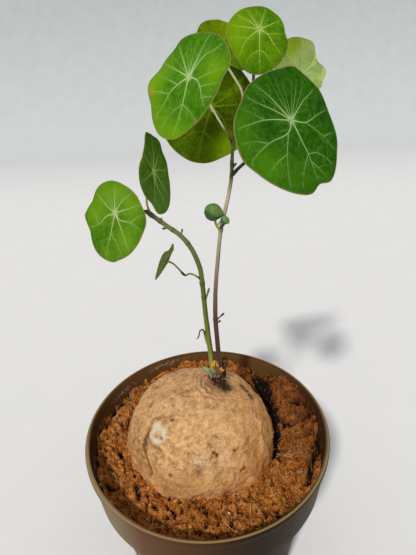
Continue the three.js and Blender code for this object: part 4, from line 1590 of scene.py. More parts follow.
STEMS = (
    Stem(
        "main_stem", Slot.STEM_BROWN,
        ((8.2, 10.5, 129.2), (7.7, 10, 134.4), (7.1, 10, 146.6), (6.6, 10, 161), (7.0, 10.4, 173),
         (8.6, 10.4, 190.4), (10.5, 10, 205), (12.4, 10, 212.8), (15, 10, 225), (15.8, 10, 236.5),
         (17.1, 10.6, 242.4), (20.2, 11.6, 246.4), (22.9, 12, 250.4)),
        (1.22, 1.14, 1.04, 0.93, 0.86, 0.84, 0.75, 0.64, 0.6),
        StalkFinish(
            "main_stem_skin",
            (
                (0.0, (0.13, 0.075, 0.045)), (0.10, (0.085, 0.045, 0.026)),
                (0.28, (0.11, 0.065, 0.045)), (0.37, (0.18, 0.115, 0.09)),
                (0.50, (0.36, 0.27, 0.18)), (0.60, (0.45, 0.41, 0.25)), (0.73, (0.62, 0.47, 0.30)),
                (0.77, (0.46, 0.41, 0.19)), (0.79, (0.17, 0.17, 0.04)), (0.88, (0.20, 0.22, 0.055)),
                (1.0, (0.14, 0.18, 0.035)),
            ),
        ),
        joints=(Joint(0.252, 0.14), Joint(0.605, 0.16, 0.01), Joint(0.79, 0.12),
                Joint(0.828, 0.2, 0.01), Joint(0.90, 0.16), Joint(0.945, 0.2)),
        spurs=(
            Spur(((7, 10, 159.6), (9.2, 9.5, 162.2), (10.7, 9.1, 163.8)), 0.38, knob=1.6),
            Spur(((7.2, 10, 158), (8.9, 9.2, 159.8)), 0.38, knob=1.5),
            Spur(((15.5, 9.9, 229.4), (17.1, 9.6, 231.6)), 0.42),
        ),
        painted_shade_span=(0.42, 1.1),
    ),
    Stem(
        "side_stem", Slot.STEM_GREEN,
        ((4.6, 8, 128.4), (4.1, 7.9, 135.7), (3.3, 7.2, 146.8), (2.2, 6.4, 164.4),
         (1.5, 5.5, 179.9), (0.8, 4.7, 189.3), (-2.2, 3.9, 198.7), (-6.1, 3.1, 204.9),
         (-11.1, 2.2, 209.6), (-16.2, 1.4, 214.3), (-18.8, 1, 216.6)),
        (1.25, 1.3, 1.17, 1.08, 1.05, 1.05, 1.0, 0.93, 0.85),
        StalkFinish(
            "side_stem_skin",
            (
                (0.0, (0.40, 0.40, 0.13)), (0.08, (0.33, 0.34, 0.08)), (0.2, (0.19, 0.21, 0.03)),
                (0.5, (0.12, 0.15, 0.024)), (0.7, (0.12, 0.155, 0.035)), (0.86, (0.18, 0.22, 0.08)),
                (0.93, (0.17, 0.19, 0.065)), (1.0, (0.12, 0.125, 0.04)),
            ),
        ),
        joints=(Joint(0.485, 0.12), Joint(0.56, 0.22, 0.01), Joint(0.775, 0.13), Joint(0.865, 0.15),
                Joint(0.93, 0.18), Joint(0.975, 0.25, 0.012)),
        spurs=(
            Spur(((2.2, 5.8, 172.8), (3.5, 5.8, 176.4), (4.3, 6, 179)), 0.45, False),
            Spur(((-6, 3.2, 204.8), (-5.4, 3.6, 207.8)), 0.36),
            Spur(((-10.4, 2.4, 209), (-13.2, 1.5, 209)), 0.4, knob=1.4),
            Spur(((-13.4, 1.9, 211.8), (-13.1, 1.9, 213.4)), 0.4, False),
        ),
        painted_shade_span=(-0.1, 0.62),
    ),
)


@dataclass
class YoungLeaf:
    """A folded young leaf on its short stalk."""

    name: str
    at: Point
    half: Point
    roll: float
    stalk: tuple[Point, ...]
    point: float = 0.2
    notch: float = 0.0
    arm: tuple[Point, ...] = ()
    stalk_radius: float = 0.48
    tones: tuple[Colour, ...] = ()
    stops: Stops = (
        (0.0, (0.42, 0.46, 0.07)), (0.4, (0.34, 0.40, 0.04)), (1.0, (0.22, 0.28, 0.03)),
    )

    def build(self) -> Object:
        """Makes the young leaf's piece.

        Returns:
            The piece.
        """
        skin = PodFinish(f"{self.name}_skin", *self.tones).build()
        stalk = StalkFinish(f"{self.name}_stalk", self.stops).build()
        model = Model(self.name, ("along", "scar", "shade", "seam", "rib", "under"))
        verts = bmesh.ops.create_icosphere(model.bm, subdivisions=5, radius=1)["verts"]
        for vert in verts:
            x, y, z = vert.co.normalized()
            # The under mark paints shade below the lobe's edge; the seam mark paints shade along
            # the crease and at the lower side of the point.
            edge = z + 0.22 * sin(2.6 * x + 0.4) + 0.12
            under = 1 / (1 + exp(edge * 14))
            seam = bell(edge + 0.04, 0.09) * clamp(1.3 * x + 0.45) * (y < 0.3)
            seam = max(seam, 0.85 * bell(hypot(x - 0.95, z + 0.3), 0.3))
            ribs = max(0.0, sin(11 * atan2(z, x + 1.5))) ** 6
            taper = 1 - 0.42 * max(0.0, x) ** 2
            radius = 1 - 0.05 * under - 0.10 * seam + 0.012 * ribs
            radius += 0.025 * noise.noise(vert.co * 2.4)
            radius -= self.notch * bell(hypot(x - 0.1, z + 1.0), 0.5)
            wide, deep, high = self.half
            out = ((x + self.point * max(0.0, x) ** 3) * wide, y * taper * deep, z * taper * high)
            vert.co = Vector(out) * radius
            vert[model.marks["seam"]] = 0.9 * seam
            vert[model.marks["rib"]] = ribs * (1 - under)
            vert[model.marks["under"]] = under
        turn = Matrix.Translation(self.at) @ Matrix.Rotation(radians(self.roll), 4, "Y")
        bmesh.ops.transform(model.bm, matrix=turn, verts=verts)
        model.faces_of(verts, skin)
        radius = self.stalk_radius
        model.tube(self.stalk, (1.2 * radius, radius, radius, 1.1 * radius), stalk, 14, 8)
        if self.arm:
            model.tube(self.arm, (0.8 * radius, 0.7 * radius, 0.5 * radius), stalk, 10, 8)
        return model.finish([self.name], Slot.LEAF_DARK)


YOUNG_LEAVES = (
    YoungLeaf(
        "young_leaf_large", (7.4, 7, 212.9), (3.9, 2.7, 3.75), 18,
        ((10.3, 10, 203.6), (9.4, 8.6, 205.2), (8.2, 7.6, 208), (8, 7.2, 210.4)),
        arm=((8.6, 7.7, 206.9), (9.4, 6.9, 208.1), (10.1, 6.3, 209.6)),
    ),
    YoungLeaf(
        "young_leaf_small", (11.9, 4, 210.3), (2.05, 1.45, 1.85), 40,
        ((10.4, 9.8, 204.8), (10.4, 7.4, 206.4), (11.2, 5.2, 208), (11.8, 4.2, 209.4)),
        point=0.0, notch=0.28, stalk_radius=0.45,
        tones=((0.035, 0.105, 0.030), (0.10, 0.21, 0.055), (0.22, 0.36, 0.11)),
        stops=((0.0, (0.08, 0.09, 0.012)), (0.6, (0.06, 0.07, 0.012)), (1.0, (0.02, 0.022, 0.008))),
    ),
)


@dataclass
class SmallShoots:
    """The withered shoot on the side stem and the pale sprout on the crown."""

    withered_green: tuple[Point, ...] = ((3.6, 7.2, 145.6), (2.1, 6.9, 149.8), (1.0, 6.2, 156.2))
    withered_stops: Stops = (
        (0.0, (0.32, 0.35, 0.06)), (0.75, (0.22, 0.25, 0.04)), (1.0, (0.07, 0.06, 0.02)),
    )
    withered_tip: tuple[Point, ...] = (
        (1.0, 6.2, 155.9), (0.3, 5.9, 157.5), (-0.8, 5.6, 157.0), (-1.4, 5.3, 154.9),
        (-2.0, 5.1, 153.4), (-2.9, 5, 152.9),
    )
    sprout: tuple[Point, ...] = (
        (3.7, 6.2, 129.0), (2.9, 5.2, 132.2), (2, 5, 134.7), (0.6, 4.9, 135.9), (-0.6, 4.9, 136.3),
    )

    def build_withered(self) -> Object:
        """Makes the withered shoot.

        Returns:
            The piece.
        """
        green = StalkFinish("withered_shoot_skin", self.withered_stops).build()
        dry = PlainFinish(
            "withered_tip", (0.035, 0.026, 0.02), (0.09, 0.07, 0.055), 0.6, 0.75
        ).build()
        model = Model("withered_shoot", ("along", "scar", "shade"))
        model.tube(self.withered_green, (0.78, 0.72, 0.6, 0.5), green, 14, 12)

        def crinkled(share: float, angle: float) -> float:
            """Factor on the radius of the dry tip, by share of the length and angle."""
            return 1 + 0.45 * noise.noise(Vector((share * 14, cos(angle), 0)))

        model.tube(self.withered_tip, (0.46, 0.36, 0.3, 0.34, 0.14), dry, 28, 8, swell=crinkled)
        return model.finish(["withered_shoot"], Slot.STEM_GREEN)

    def build_sprout(self) -> Object:
        """Makes the pale blue-green sprout.

        Returns:
            The piece.
        """
        skin = PlainFinish(
            "sprout_skin", (0.11, 0.25, 0.11), (0.30, 0.46, 0.27), 0.7, 0.55, 0.1, 0.1
        ).build()
        tip = PlainFinish("sprout_tip", (0.03, 0.04, 0.03), (0.08, 0.10, 0.06), 0.5, 0.7).build()
        model = Model("crown_sprout", ("along",))

        def flattened(share: float, angle: float) -> float:
            """Factor on the sprout's radius, by share of the length and angle."""
            return 1 + 0.25 * cos(2 * angle) + 0.12 * sin(12 * share)

        model.tube(self.sprout, (0.58, 0.66, 0.62, 0.56, 0.34), skin, 24, 12, swell=flattened)
        model.blob((-0.9, 4.9, 136.3), 0.42, tip, 2, 0.2, 0.4)
        return model.finish(["crown_sprout"], Slot.SPROUT)


# Tuber


@dataclass(frozen=True)
class Feature:
    """A mark on the tuber: a place, its reach and how far it stands out."""

    at: Point
    reach: float
    height: float

    def away(self, spot: Vector, ragged: float = 0.0) -> float:
        """Distance from a point, made uneven by some millimetres."""
        return (spot - Vector(self.at)).length + ragged * lumps(spot, 0.5 + ragged)


@dataclass
class Tuber:
    """The corky tuber with its crown and roots."""

    centre: Point = (-3.8, 4.5, 91.6)
    radius: float = 38.1
    flattening: float = 0.9
    lump: float = 0.9
    pits: tuple[Feature, ...] = (
        Feature((3.2, -25.0, 112.3), 0.65, -1.6), Feature((4.3, -25.6, 111.1), 0.6, -1.3),
        Feature((16.2, -25.5, 102.6), 0.7, -1.5), Feature((15.4, -26.3, 102.0), 0.5, -1.0),
        Feature((-4.4, -30.2, 105.2), 0.35, -0.5),
        Feature((-16.6, -28.6, 104.1), 0.5, -0.9), Feature((-15.7, -12.2, 120.5), 0.45, -0.5),
        Feature((22.5, -19.5, 100.5), 0.6, -0.6),
        Feature((12.5, -22.5, 110.5), 0.6, -0.5), Feature((31.6, -5.5, 103.5), 0.8, -1.1),
        Feature((-26.5, -6.5, 117.5), 0.5, -0.5), Feature((-20.3, -18.3, 115.3), 0.9, -0.7),
        Feature((24.2, 8.0, 115.6), 0.7, -0.9), Feature((19.5, 13.0, 117.3), 0.7, -0.9),
    )
    dents: tuple[Feature, ...] = (
        Feature((10.4, 6.0, 124.7), 3.2, -2.0), Feature((-4.4, -30.2, 106), 2.6, -1.4),
        Feature((-5.7, -33.5, 92), 2.6, -3.2), Feature((26, -14, 104), 6, -0.7),
        Feature((-30, -10, 98), 5, -0.6), Feature((-33, -16, 93), 6, -1.5),
        Feature((9, -32, 91), 5, -1.3), Feature((-12, -33, 92), 3, 0.7),
        Feature((1.5, -33.8, 92), 3, 0.8), Feature((26, -24, 92), 4, 0.9),
        Feature((-27, -27.5, 93), 4, 0.8), Feature((5.2, -13.5, 121.5), 2.5, 0.5),
    )
    scab: Feature = Feature((-3.0, -27.5, 110.9), 2.5, 0.55)
    crust: Feature = Feature((-22.1, -16.3, 115.8), 3.3, 0.5)
    crust_top: Feature = Feature((-22.8, -12.6, 117.8), 1.5, 0.5)
    white_dot: Feature = Feature((-9.9, -17.5, 119.2), 0.8, 0.25)
    scar: tuple[Feature, ...] = (
        Feature((19.9, 12, 118.3), 2.2, -0.35), Feature((21.5, 9.6, 117.4), 2.2, -0.35),
        Feature((23.9, 7.6, 115.8), 2.0, -0.35),
    )
    pale_spot: Feature = Feature((25.5, 2.0, 113.5), 1.6, 0.0)
    honey: Feature = Feature((-9, -32, 98), 9, 0.0)
    pebbles: Feature = Feature((-11, -21, 114), 11, 0.6)
    crown: Feature = Feature((6.2, 6.2, 126), 4, 0.5)
    knobs: tuple[tuple[Point, float], ...] = (
        ((5, 8, 129), 2.9), ((8.4, 10.6, 129.6), 2.5), ((6.4, 7.2, 125.4), 3.5),
        ((6, 6.4, 122.8), 3.2), ((9.6, 11.2, 126.2), 2.4), ((3.2, 9.6, 125.2), 2.1),
        ((6.5, 7.6, 131.2), 2.0), ((8.3, 7.3, 129.4), 2.2),
    )
    neck: tuple[Point, ...] = (
        (6.2, 7.4, 129), (6.0, 6.9, 132.5), (6.3, 7.4, 135.5), (6.4, 8.2, 137.6),
    )
    stump: tuple[Point, ...] = (
        (9.2, 11.6, 126), (9.9, 12.4, 130.2), (10.3, 12.6, 133.2), (10.5, 12.6, 135.7),
    )
    roots: tuple[tuple[float, float, float], ...] = (
        (20, 17, 2.0), (95, 14, 1.5), (160, 18, 1.8), (235, 13, 1.4), (300, 16, 1.7),
    )
    detail: int = 7
    crown_crumbs: int = 34
    pale_knob: int = 6

    def _broad_lump(self, d: Vector) -> float:
        """Height of the broad lumps that the solid has too.

        Args:
            d: Direction from the tuber's middle.

        Returns:
            The height in millimetres.
        """
        broad = sin(5.1 * d.x + 1.3) * cos(4.3 * d.y - 0.4)
        broad += 0.8 * sin(6.2 * d.z + 3.1 * d.x)
        fine = sin(13 * d.x + 7 * d.z) * sin(11 * d.y - 5 * d.z + 2)
        return self.lump * (0.6 * broad + 0.35 * fine)

    def _skin(self, d: Vector) -> tuple[float, dict[str, float]]:
        """Height of the skin over the round form, and what colours it.

        Args:
            d: Direction from the tuber's middle.

        Returns:
            The height in millimetres, and the vertex's marks.
        """
        spot = Vector(self.centre) + Vector((d.x, d.y, d.z * self.flattening)) * self.radius
        p = d * self.radius
        marks = dict.fromkeys(("pit", "crust", "grey", "honey", "brown"), 0.0)

        def raise_mark(mark: str, *values: float) -> None:
            """Raises a mark to the largest of some values."""
            marks[mark] = max(marks[mark], *values)

        q = p + 1.4 * Vector((lumps(p, 5), lumps(p, 5, (7, 3, 1)), 0))
        fine = 0.30 * lumps(q, 3.1) + 0.24 * lumps(q, 1.5, (9, 2, 4))
        fine += 0.15 * lumps(p, 0.8, (1, 2, 3))
        crease = 1 - abs(lumps(q, 4.2, (5, 5, 1))) * 5
        fine -= 0.30 * max(0.0, crease) ** 2 * (0.5 + lumps(p, 12, (4, 4, 4)))
        pebbled = bell(self.pebbles.away(spot), self.pebbles.reach)
        if pebbled > 0.05:
            fine += pebbled * self.pebbles.height * (0.45 - noise.voronoi(q / 1.9)[0][0])
        wrinkled = clamp((d.x + 0.05) * 2.0) * clamp((0.78 - d.z) * 2.2) * (d.y < 0.5)
        if wrinkled:
            turn = atan2(d.y, d.x) * 21 + 4.0 * lumps(p, 9) + 3.4 * d.z
            folds = sin(turn) * (0.5 + 1.1 * noise.noise(p / Vector((6, 6, 9)).length * 2.2))
            fine += wrinkled * 0.42 * folds
        fissure = spot.x + 27.6 + 1.3 * sin(spot.z * 0.42) + 0.9 * lumps(p, 2.5)
        span = clamp((116 - spot.z) / 3) * clamp((spot.z - 97) / 3) * (d.y < 0)
        fine -= span * (0.8 * bell(fissure, 0.7) + 0.12 / (1 + exp(fissure * 2.2)))
        # Painted shade in the fissure, through the pit mark.
        marks["pit"] = 0.55 * span * bell(fissure, 0.6)
        # Each pit is dented and darkened with painted shade through the pit mark.
        for pit in self.pits:
            away = pit.away(spot, 0.35)
            fine += pit.height * bell(away, pit.reach)
            raise_mark("pit", bell(away, 0.9 * pit.reach))
            raise_mark("brown", 0.4 * bell(away, 1.9 * pit.reach))
        facet = max(0.0, 1 - abs(lumps(p, 15, (2, 8, 5))) * 5)
        height = self._broad_lump(d) + 0.6 * lumps(p, 9, (3, 1, 7)) + fine + 0.7 * facet - 0.3
        for dent in self.dents:
            height += dent.height * bell(dent.away(spot), dent.reach)
        ring = self.crown.away(spot) + 1.3 * lumps(spot, 3)
        if ring < 20:
            left = clamp(0.55 - (spot.x - self.crown.at[0]) / 9)
            wave = sin(ring * 2.2 + 1.5 * lumps(spot, 4))
            height += self.crown.height * left * wave * bell(ring - 7.5, self.crown.reach)
            # Painted shadow round the crown's foot and in the hollow beside it, through the pit
            # mark.
            hollow = min(0.93, 1.9 * bell(self.dents[0].away(spot, 1.2), 3.5))
            raise_mark("pit", 0.7 * bell(ring, 4.0), hollow)
            fold = left * max(0.0, -wave) * bell(ring - 8, self.crown.reach)
            raise_mark("brown", 0.85 * fold, 0.6 * bell(ring - 3, 4.5))
        rough = lumps(spot)
        scab = bell(self.scab.away(spot, 1.0), self.scab.reach)
        height += self.scab.height * scab * (1 + 1.8 * rough)
        marks["crust"] = 0.95 * scab * max(0.0, 0.4 + 2.0 * rough)
        raise_mark("brown", 0.75 * bell(self.dents[1].away(spot, 1.0), 1.9))
        ring = min(self.crust.away(spot) - 0.7, self.crust_top.away(spot) + 1.2)
        ring += 0.8 * lumps(spot, 1.8)
        height += self.crust.height * bell(ring - 2.2, 1.6)
        raise_mark("crust", 1.1 * bell(ring - 2.4, 1.1), 0.45 * bell(ring, 2.6) * (0.5 + rough))
        raise_mark("brown", 0.6 * bell(ring - 4.8, 1.0) * (spot.x < -21))
        dot = bell(self.white_dot.away(spot, 0.4), self.white_dot.reach)
        height += self.white_dot.height * dot
        pale = 0.5 * bell(self.pale_spot.away(spot) + rough, self.pale_spot.reach)
        raise_mark("crust", dot, pale)
        patch = max(bell(scar.away(spot, 1.0), scar.reach) for scar in self.scar)
        height += self.scar[0].height * patch * (1 + 2.5 * rough)
        marks["grey"] = 2.0 * patch * (0.95 + 0.8 * rough)
        raise_mark("pit", patch * max(0.0, lumps(spot, 0.9) * 3 - 0.3))
        marks["honey"] = bell(self.honey.away(spot), self.honey.reach)
        raise_mark("brown", 0.08 * clamp((spot.z - 119) / 7))
        # The relief mark also tints the cork, as painted shade and highlight.
        marks["relief"] = 0.5 + fine * 0.9
        return height, marks

    def build(self) -> Object:
        """Makes the tuber's piece.

        Returns:
            The piece.
        """
        cork = CorkFinish().build()
        bark = BarkFinish("crown_bark", (0.038, 0.017, 0.009), (0.44, 0.21, 0.12)).build()
        neck = BarkFinish("crown_neck", (0.13, 0.075, 0.055), (0.50, 0.35, 0.27)).build()
        honey = ((0.60, 0.22, 0.003), (0.95, 0.50, 0.02))
        amber = PlainFinish("amber_crumb", *honey, 0.5, 0.4).build()
        model = Model("caudex", ("pit", "crust", "grey", "honey", "brown", "relief", "along"))
        verts = bmesh.ops.create_icosphere(model.bm, subdivisions=self.detail, radius=1)["verts"]
        middle = Vector(self.centre)
        for vert in verts:
            d = vert.co.normalized()
            height, marks = self._skin(d)
            out = d * (self.radius + height)
            vert.co = middle + Vector((out.x, out.y, out.z * self.flattening))
            for mark, value in marks.items():
                vert[model.marks[mark]] = clamp(value)
        model.faces_of(verts, cork)
        foot = middle.z - self.radius * self.flattening
        for bearing, length, radius in self.roots:
            east, north = cos(radians(bearing)), sin(radians(bearing))
            path = [
                (middle.x + east * out, middle.y + north * out, foot + down)
                for out, down in (
                    (9, 8), (12, 0), (12 + 0.5 * length, -0.5 * length),
                    (12 + 0.6 * length, -length),
                )
            ]
            model.tube(path, (radius, radius, 0.7 * radius, 0.45 * radius), bark, 12, 10)
        self._crown(model, bark, neck, amber)
        return model.finish(["caudex"], Slot.CORK)

    def _crown(self, model: Model, bark: Material, neck: Material, amber: Material) -> None:
        """Builds up the gnarled crown under the stems.

        Args:
            model: The piece.
            bark: Material of the old wood.
            neck: Material of the paler neck round the stems.
            amber: Material of the resin crumbs.
        """
        for i, (at, radius) in enumerate(self.knobs):
            skin = neck if i == self.pale_knob else bark
            model.blob(at, 0.88 * radius, skin, 5, 0.7, 1.3, (1, 1, 1.15))
        for path, radii, material, spans, sides, rough, size, seed in (
            (self.neck, (1.7, 1.5, 1.2, 0.8), neck, 16, 12, 0.5, (6, 1.5), 2),
            (self.stump, (1.3, 0.8, 1.5, 0.9), bark, 20, 14, 0.9, (9, 2), 5),
        ):
            def gnarled(share: float, turn: float) -> float:
                """Factor on the radius, by share of the length and angle."""
                spot = (share * size[0], size[1] * cos(turn), seed)
                return 1 + rough * noise.noise(Vector(spot))

            model.tube(path, radii, material, spans, sides, swell=gnarled)
        draw = Random(5)
        for _ in range(self.crown_crumbs):
            turn, rise = draw.uniform(0, 2 * pi), draw.uniform(123.5, 131.5)
            ring = np.interp(rise, [123.5, 127, 131.5], [3.6, 2.6, 1.9])
            at = (6.6 + ring * cos(turn), 7.3 + ring * sin(turn), rise)
            tall = (1, 1, draw.uniform(0.8, 1.9))
            skin = neck if rise > 129 and turn > 3.6 else bark
            model.blob(at, draw.uniform(0.5, 1.0), skin, 3, 0.6, 0.6, tall)
        for (x, y, z), spread, count in (
            ((5.3, 6.2, 137.2), 1.5, 20), ((8.3, 6.1, 133.6), 0.85, 9),
        ):
            for _ in range(count):
                east, back, up = (draw.gauss(0, share) for share in (0.45, 0.3, 0.6))
                at = (x + east * spread, y + back, z + up * spread)
                model.blob(at, draw.uniform(0.4, 0.8), amber, 2, 0.5, 0.5)


# Soil


@dataclass(frozen=True)
class Heap:
    """A mound, or a hollow where its height is negative."""

    at: Pair
    height: float
    reach: float

    def on(self, x: float, y: float) -> float:
        """Its height at a place."""
        return self.height * bell(hypot(x - self.at[0], y - self.at[1]), self.reach)


@dataclass(frozen=True)
class Crack:
    """A crevice between clods, along a line."""

    line: tuple[Pair, ...]
    depth: float
    width: float

    def on(self, x: float, y: float) -> float:
        """Its depth at a place, ragged along its edges.

        Args:
            x: Place across.
            y: Place towards the back.

        Returns:
            The depth in millimetres.
        """
        best = 99.0
        for (ax, ay), (bx, by) in zip(self.line, self.line[1:]):
            dx, dy = bx - ax, by - ay
            t = clamp(((x - ax) * dx + (y - ay) * dy) / (dx * dx + dy * dy))
            best = min(best, hypot(x - ax - t * dx, y - ay - t * dy))
        if best > 3 * self.width:
            return 0.0
        ragged = best + 0.8 * lumps(Vector((x, y, 2.0)), 2.1)
        return self.depth * clamp((1.7 * self.width - ragged) / (1.2 * self.width))


@dataclass
class Coir:
    """The pot's filling: a grainy bed, crumbs, clods, fibres and a few white bits."""

    level: float = 91.0
    rise_to_back: float = 0.1
    heaps: tuple[Heap, ...] = (
        Heap((46, 26), 8.5, 12), Heap((18, 47), 2, 12), Heap((-30, -24), 3.5, 8),
        Heap((24, -32), 2, 9), Heap((37, 0), -5, 6), Heap((34, 26), -5, 6),
    )
    banks: tuple[Heap, ...] = (
        Heap((57, 4), 7.5, 9), Heap((52, 21), 2.5, 9), Heap((42, 41), 4, 7),
        Heap((55, -20), 4.5, 7), Heap((14, 55), 2, 9), Heap((-8, 56), 3.5, 9),
        Heap((-20, 53), 2.5, 8), Heap((-43, 37), 1.5, 9), Heap((-53, 16), 3, 10),
        Heap((-56, 0), 4, 9), Heap((32, 38), -3.5, 6),
    )
    shadows: tuple[Heap, ...] = (Heap((34.5, 36), 0.9, 7), Heap((-46, 33), 0.4, 8))
    clods: tuple[Heap, ...] = (
        Heap((-29.5, -31), 1.8, 4.5), Heap((-38, -20), 1.2, 4), Heap((45, 22), 1.8, 5),
        Heap((50, -9), 1.4, 5), Heap((46, 4), 1.2, 4), Heap((10, -47), 1.2, 6),
        Heap((-46, -10), 1.8, 7), Heap((-47, 20), 1.2, 5), Heap((29, -40), 1.4, 6),
        Heap((-10, -43), 1.2, 5), Heap((47, 34), 1.4, 4), Heap((0, 50), 1.6, 6),
        Heap((-52, 3), 2.0, 5), Heap((22, 47), 1.6, 5),
    )
    cracks: tuple[Crack, ...] = (
        Crack(((31, 44), (33, 36), (34.5, 29), (36.3, 21), (36.0, 12), (35.2, 3), (34.2, -5),
               (32.5, -10)), 3.8, 2.4),
        Crack(((35.5, 11.5), (40.7, 10.3), (44.3, 6.6), (50.3, 7.6), (54.5, 9.2)), 4.0, 1.0),
        Crack(((47, 17.4), (49.3, 16.8), (55.8, 16.4)), 3.6, 0.8),
        Crack(((57.5, -1), (53.7, -9.8), (49.7, -18), (46, -26)), 5.5, 1.0),
        Crack(((38, 49.5), (42.1, 46.6), (45.5, 42)), 3.0, 1.1),
        Crack(((-45.5, -4.8), (-42.3, -9.2)), 2.4, 1.0), Crack(((-49, -22), (-44, -25)), 2.4, 0.9),
        Crack(((-34, -24), (-32, -29.5)), 2.8, 1.0), Crack(((-19, -35), (-15.5, -39)), 2.4, 0.8),
        Crack(((-3, -36), (-2, -40)), 2.6, 0.9), Crack(((13, -34), (18, -36)), 2.0, 0.8),
        Crack(((-36, 27), (-41, 20), (-44, 11)), 2.6, 1.0),
        Crack(((-48, 28), (-52, 18), (-54, 8)), 2.4, 1.0), Crack(((-7, -47), (-1, -50)), 2.0, 0.8),
        Crack(((24, -41), (30, -40)), 2.0, 0.8),
    )
    front: Heap = Heap((2, -52), 3.4, 26)
    seat_centre: Pair = (-3.8, 4.5)
    seat: float = 37.4
    outer: float = 56.5
    inner: float = 30.0
    highest: float = 104.0
    piles: int = 48
    pile_size: int = 120
    crumb_sizes: Pair = (0.22, 1.3)
    sectors: int = 520

    def surface(self, x: float, y: float) -> float:
        """Height of the coir as the solid has it.

        Args:
            x: Place across.
            y: Place towards the back.

        Returns:
            The height in millimetres.
        """
        height = self.level + self.rise_to_back * max(0.0, y)
        height += sum(heap.on(x, y) for heap in self.heaps)
        height += 0.8 * sin(0.42 * x + 0.9) * cos(0.37 * y - 0.5)
        return height + 0.5 * sin(0.95 * x + 0.5 * y) * cos(1.1 * y - 0.35 * x)

    def top(self, x: float, y: float) -> Pair:
        """The finished surface: clods, crevices, crumbs and pores.

        Args:
            x: Place across.
            y: Place towards the back.

        Returns:
            Its height, and how deep in shade the place lies, from 0 to 1.
        """
        p = Vector((x, y, 0.0))
        q = p + 1.6 * Vector((lumps(p, 4), lumps(p, 4, (5, 9, 2)), 0))
        crack = max(crack.on(x, y) for crack in self.cracks)
        rim = hypot(x - self.seat_centre[0], y - self.seat_centre[1]) - self.seat
        bank = 0.6 if y < 0 else 1.0
        crack = max(crack, 2.0 * bank * clamp(1.1 - rim + 2.4 * lumps(p, 4)))
        clod = sum(heap.on(x, y) for heap in self.clods) + 1.3 * lumps(q, 5.5)
        crumbs = 1.9 * lumps(q, 2.8) + 1.1 * (0.45 - noise.voronoi(q / 1.5)[0][0])
        pore = clamp(-lumps(q, 1.9, (3, 3, 8)) * 5 - 0.75)
        fine = 0.8 * lumps(p, 0.9) + 0.5 * lumps(p, 0.5, (4, 1, 2))
        calm = 1 - 0.2 * clamp((x - 20) / 10) * clamp((y + 14) / 12)
        clod += sum(heap.on(x, y) for heap in (self.front, *self.banks))
        height = self.surface(x, y) + clod + (crumbs + fine - 2.2 * pore) * calm - crack
        shade = crack / 3.0 + pore + max(0.0, 0.05 - 0.6 * (crumbs + fine))
        shade += sum(heap.on(x, y) for heap in self.shadows)
        return min(self.highest, height), clamp(shade)

    def build_bed(self) -> Object:
        """Spins the filling's body and roughens its top.

        Returns:
            The piece.
        """
        coir = CoirFinish(
            "coir_bed", (0.008, 0.0025, 0.0007), (0.56, 0.16, 0.023), (0.92, 0.34, 0.070)
        ).build()
        model = Model("coir_bed", ("deep",))
        wall = [(0.0, 2.1), (40.1, 2.1), (50.5, 79), (50.4, 82.2), (54.0, 83.4)]
        wall.append((self.outer - 0.8, 84.4))
        rings = [*np.arange(self.outer, self.inner, -0.5), 26, 16, 0.0]
        spin(model.bm, [*wall, *((radius, self.level) for radius in rings)], self.sectors)
        for vert in model.bm.verts:
            if vert.co.z < self.level - 0.01:
                continue
            x, y = vert.co.x, vert.co.y
            ring = hypot(x, y)
            if ring < self.inner - 1:
                vert.co.z = self.level - 6
                continue
            top, shade = self.top(x, y)
            sway = Vector((lumps(Vector((x, y, 5)), 1.3), lumps(Vector((x, y, 9)), 1.3), 0)) * 0.6
            lean = 1 + 0.0015 * max(0.0, top - self.level) * clamp((ring - 50) / 6)
            vert.co = Vector((x * lean, y * lean, top))
            if ring <= self.outer - 0.9:
                vert.co += sway
            vert[model.marks["deep"]] = shade
        bmesh.ops.recalc_face_normals(model.bm, faces=model.bm.faces)
        model.faces_of(list(model.bm.verts), coir)
        return model.finish(["soil"], Slot.COIR)

    def _scatter(self, draw: Random) -> Pair:
        """A random place on the ring of coir between the tuber and the wall.

        Args:
            draw: Random numbers.

        Returns:
            x and y in millimetres.
        """
        while True:
            radius = sqrt(draw.uniform(self.inner**2, (self.outer - 0.7) ** 2))
            angle = draw.uniform(0, 2 * pi)
            x, y = radius * cos(angle), radius * sin(angle)
            if hypot(x - self.seat_centre[0], y - self.seat_centre[1]) > self.seat + 0.4:
                return x, y

    def build_crumbs(self) -> Object:
        """Scatters crumbs over the bed, fewer in the crevices.

        Returns:
            The piece.
        """
        finishes = [
            CoirFinish(f"coir_crumb_{name}", *colours).build()
            for name, colours in (
                ("dark", ((0.03, 0.01, 0.002), (0.19, 0.052, 0.008), (0.36, 0.11, 0.018))),
                ("warm", ((0.13, 0.036, 0.005), (0.44, 0.135, 0.019), (0.66, 0.24, 0.042))),
                ("pale", ((0.30, 0.10, 0.015), (0.62, 0.25, 0.05), (0.80, 0.40, 0.12))),
            )
        ]
        draw = Random(11)
        whole = Model("coir_crumbs", ("deep",))
        whole.slots = list(finishes)
        smallest, largest = self.crumb_sizes
        for _ in range(self.piles):
            pile = Model("pile", ("deep",))
            pile.slots = list(finishes)
            for _ in range(self.pile_size):
                x, y = self._scatter(draw)
                top, shade = self.top(x, y)
                if shade > 0.75 and draw.random() < 0.8:
                    continue
                size = min(largest, max(smallest, exp(draw.gauss(-0.95, 0.42))))
                angle = draw.uniform(0, 6.28)
                turn = Matrix.Rotation(angle, 4, Vector((draw.gauss(0, 1), draw.gauss(0, 1), 0.5)))
                flat = Matrix.Diagonal((1, draw.uniform(0.6, 1.0), draw.uniform(0.45, 0.9), 1))
                spot = Vector((x, y, top + 0.2 * size))
                verts = bmesh.ops.create_icosphere(
                    pile.bm, subdivisions=2 if size > 0.9 else 1, radius=size,
                    matrix=Matrix.Translation(spot) @ turn @ flat,
                )["verts"]
                for vert in verts:
                    vert.co += (vert.co - spot) * draw.uniform(-0.35, 0.3)
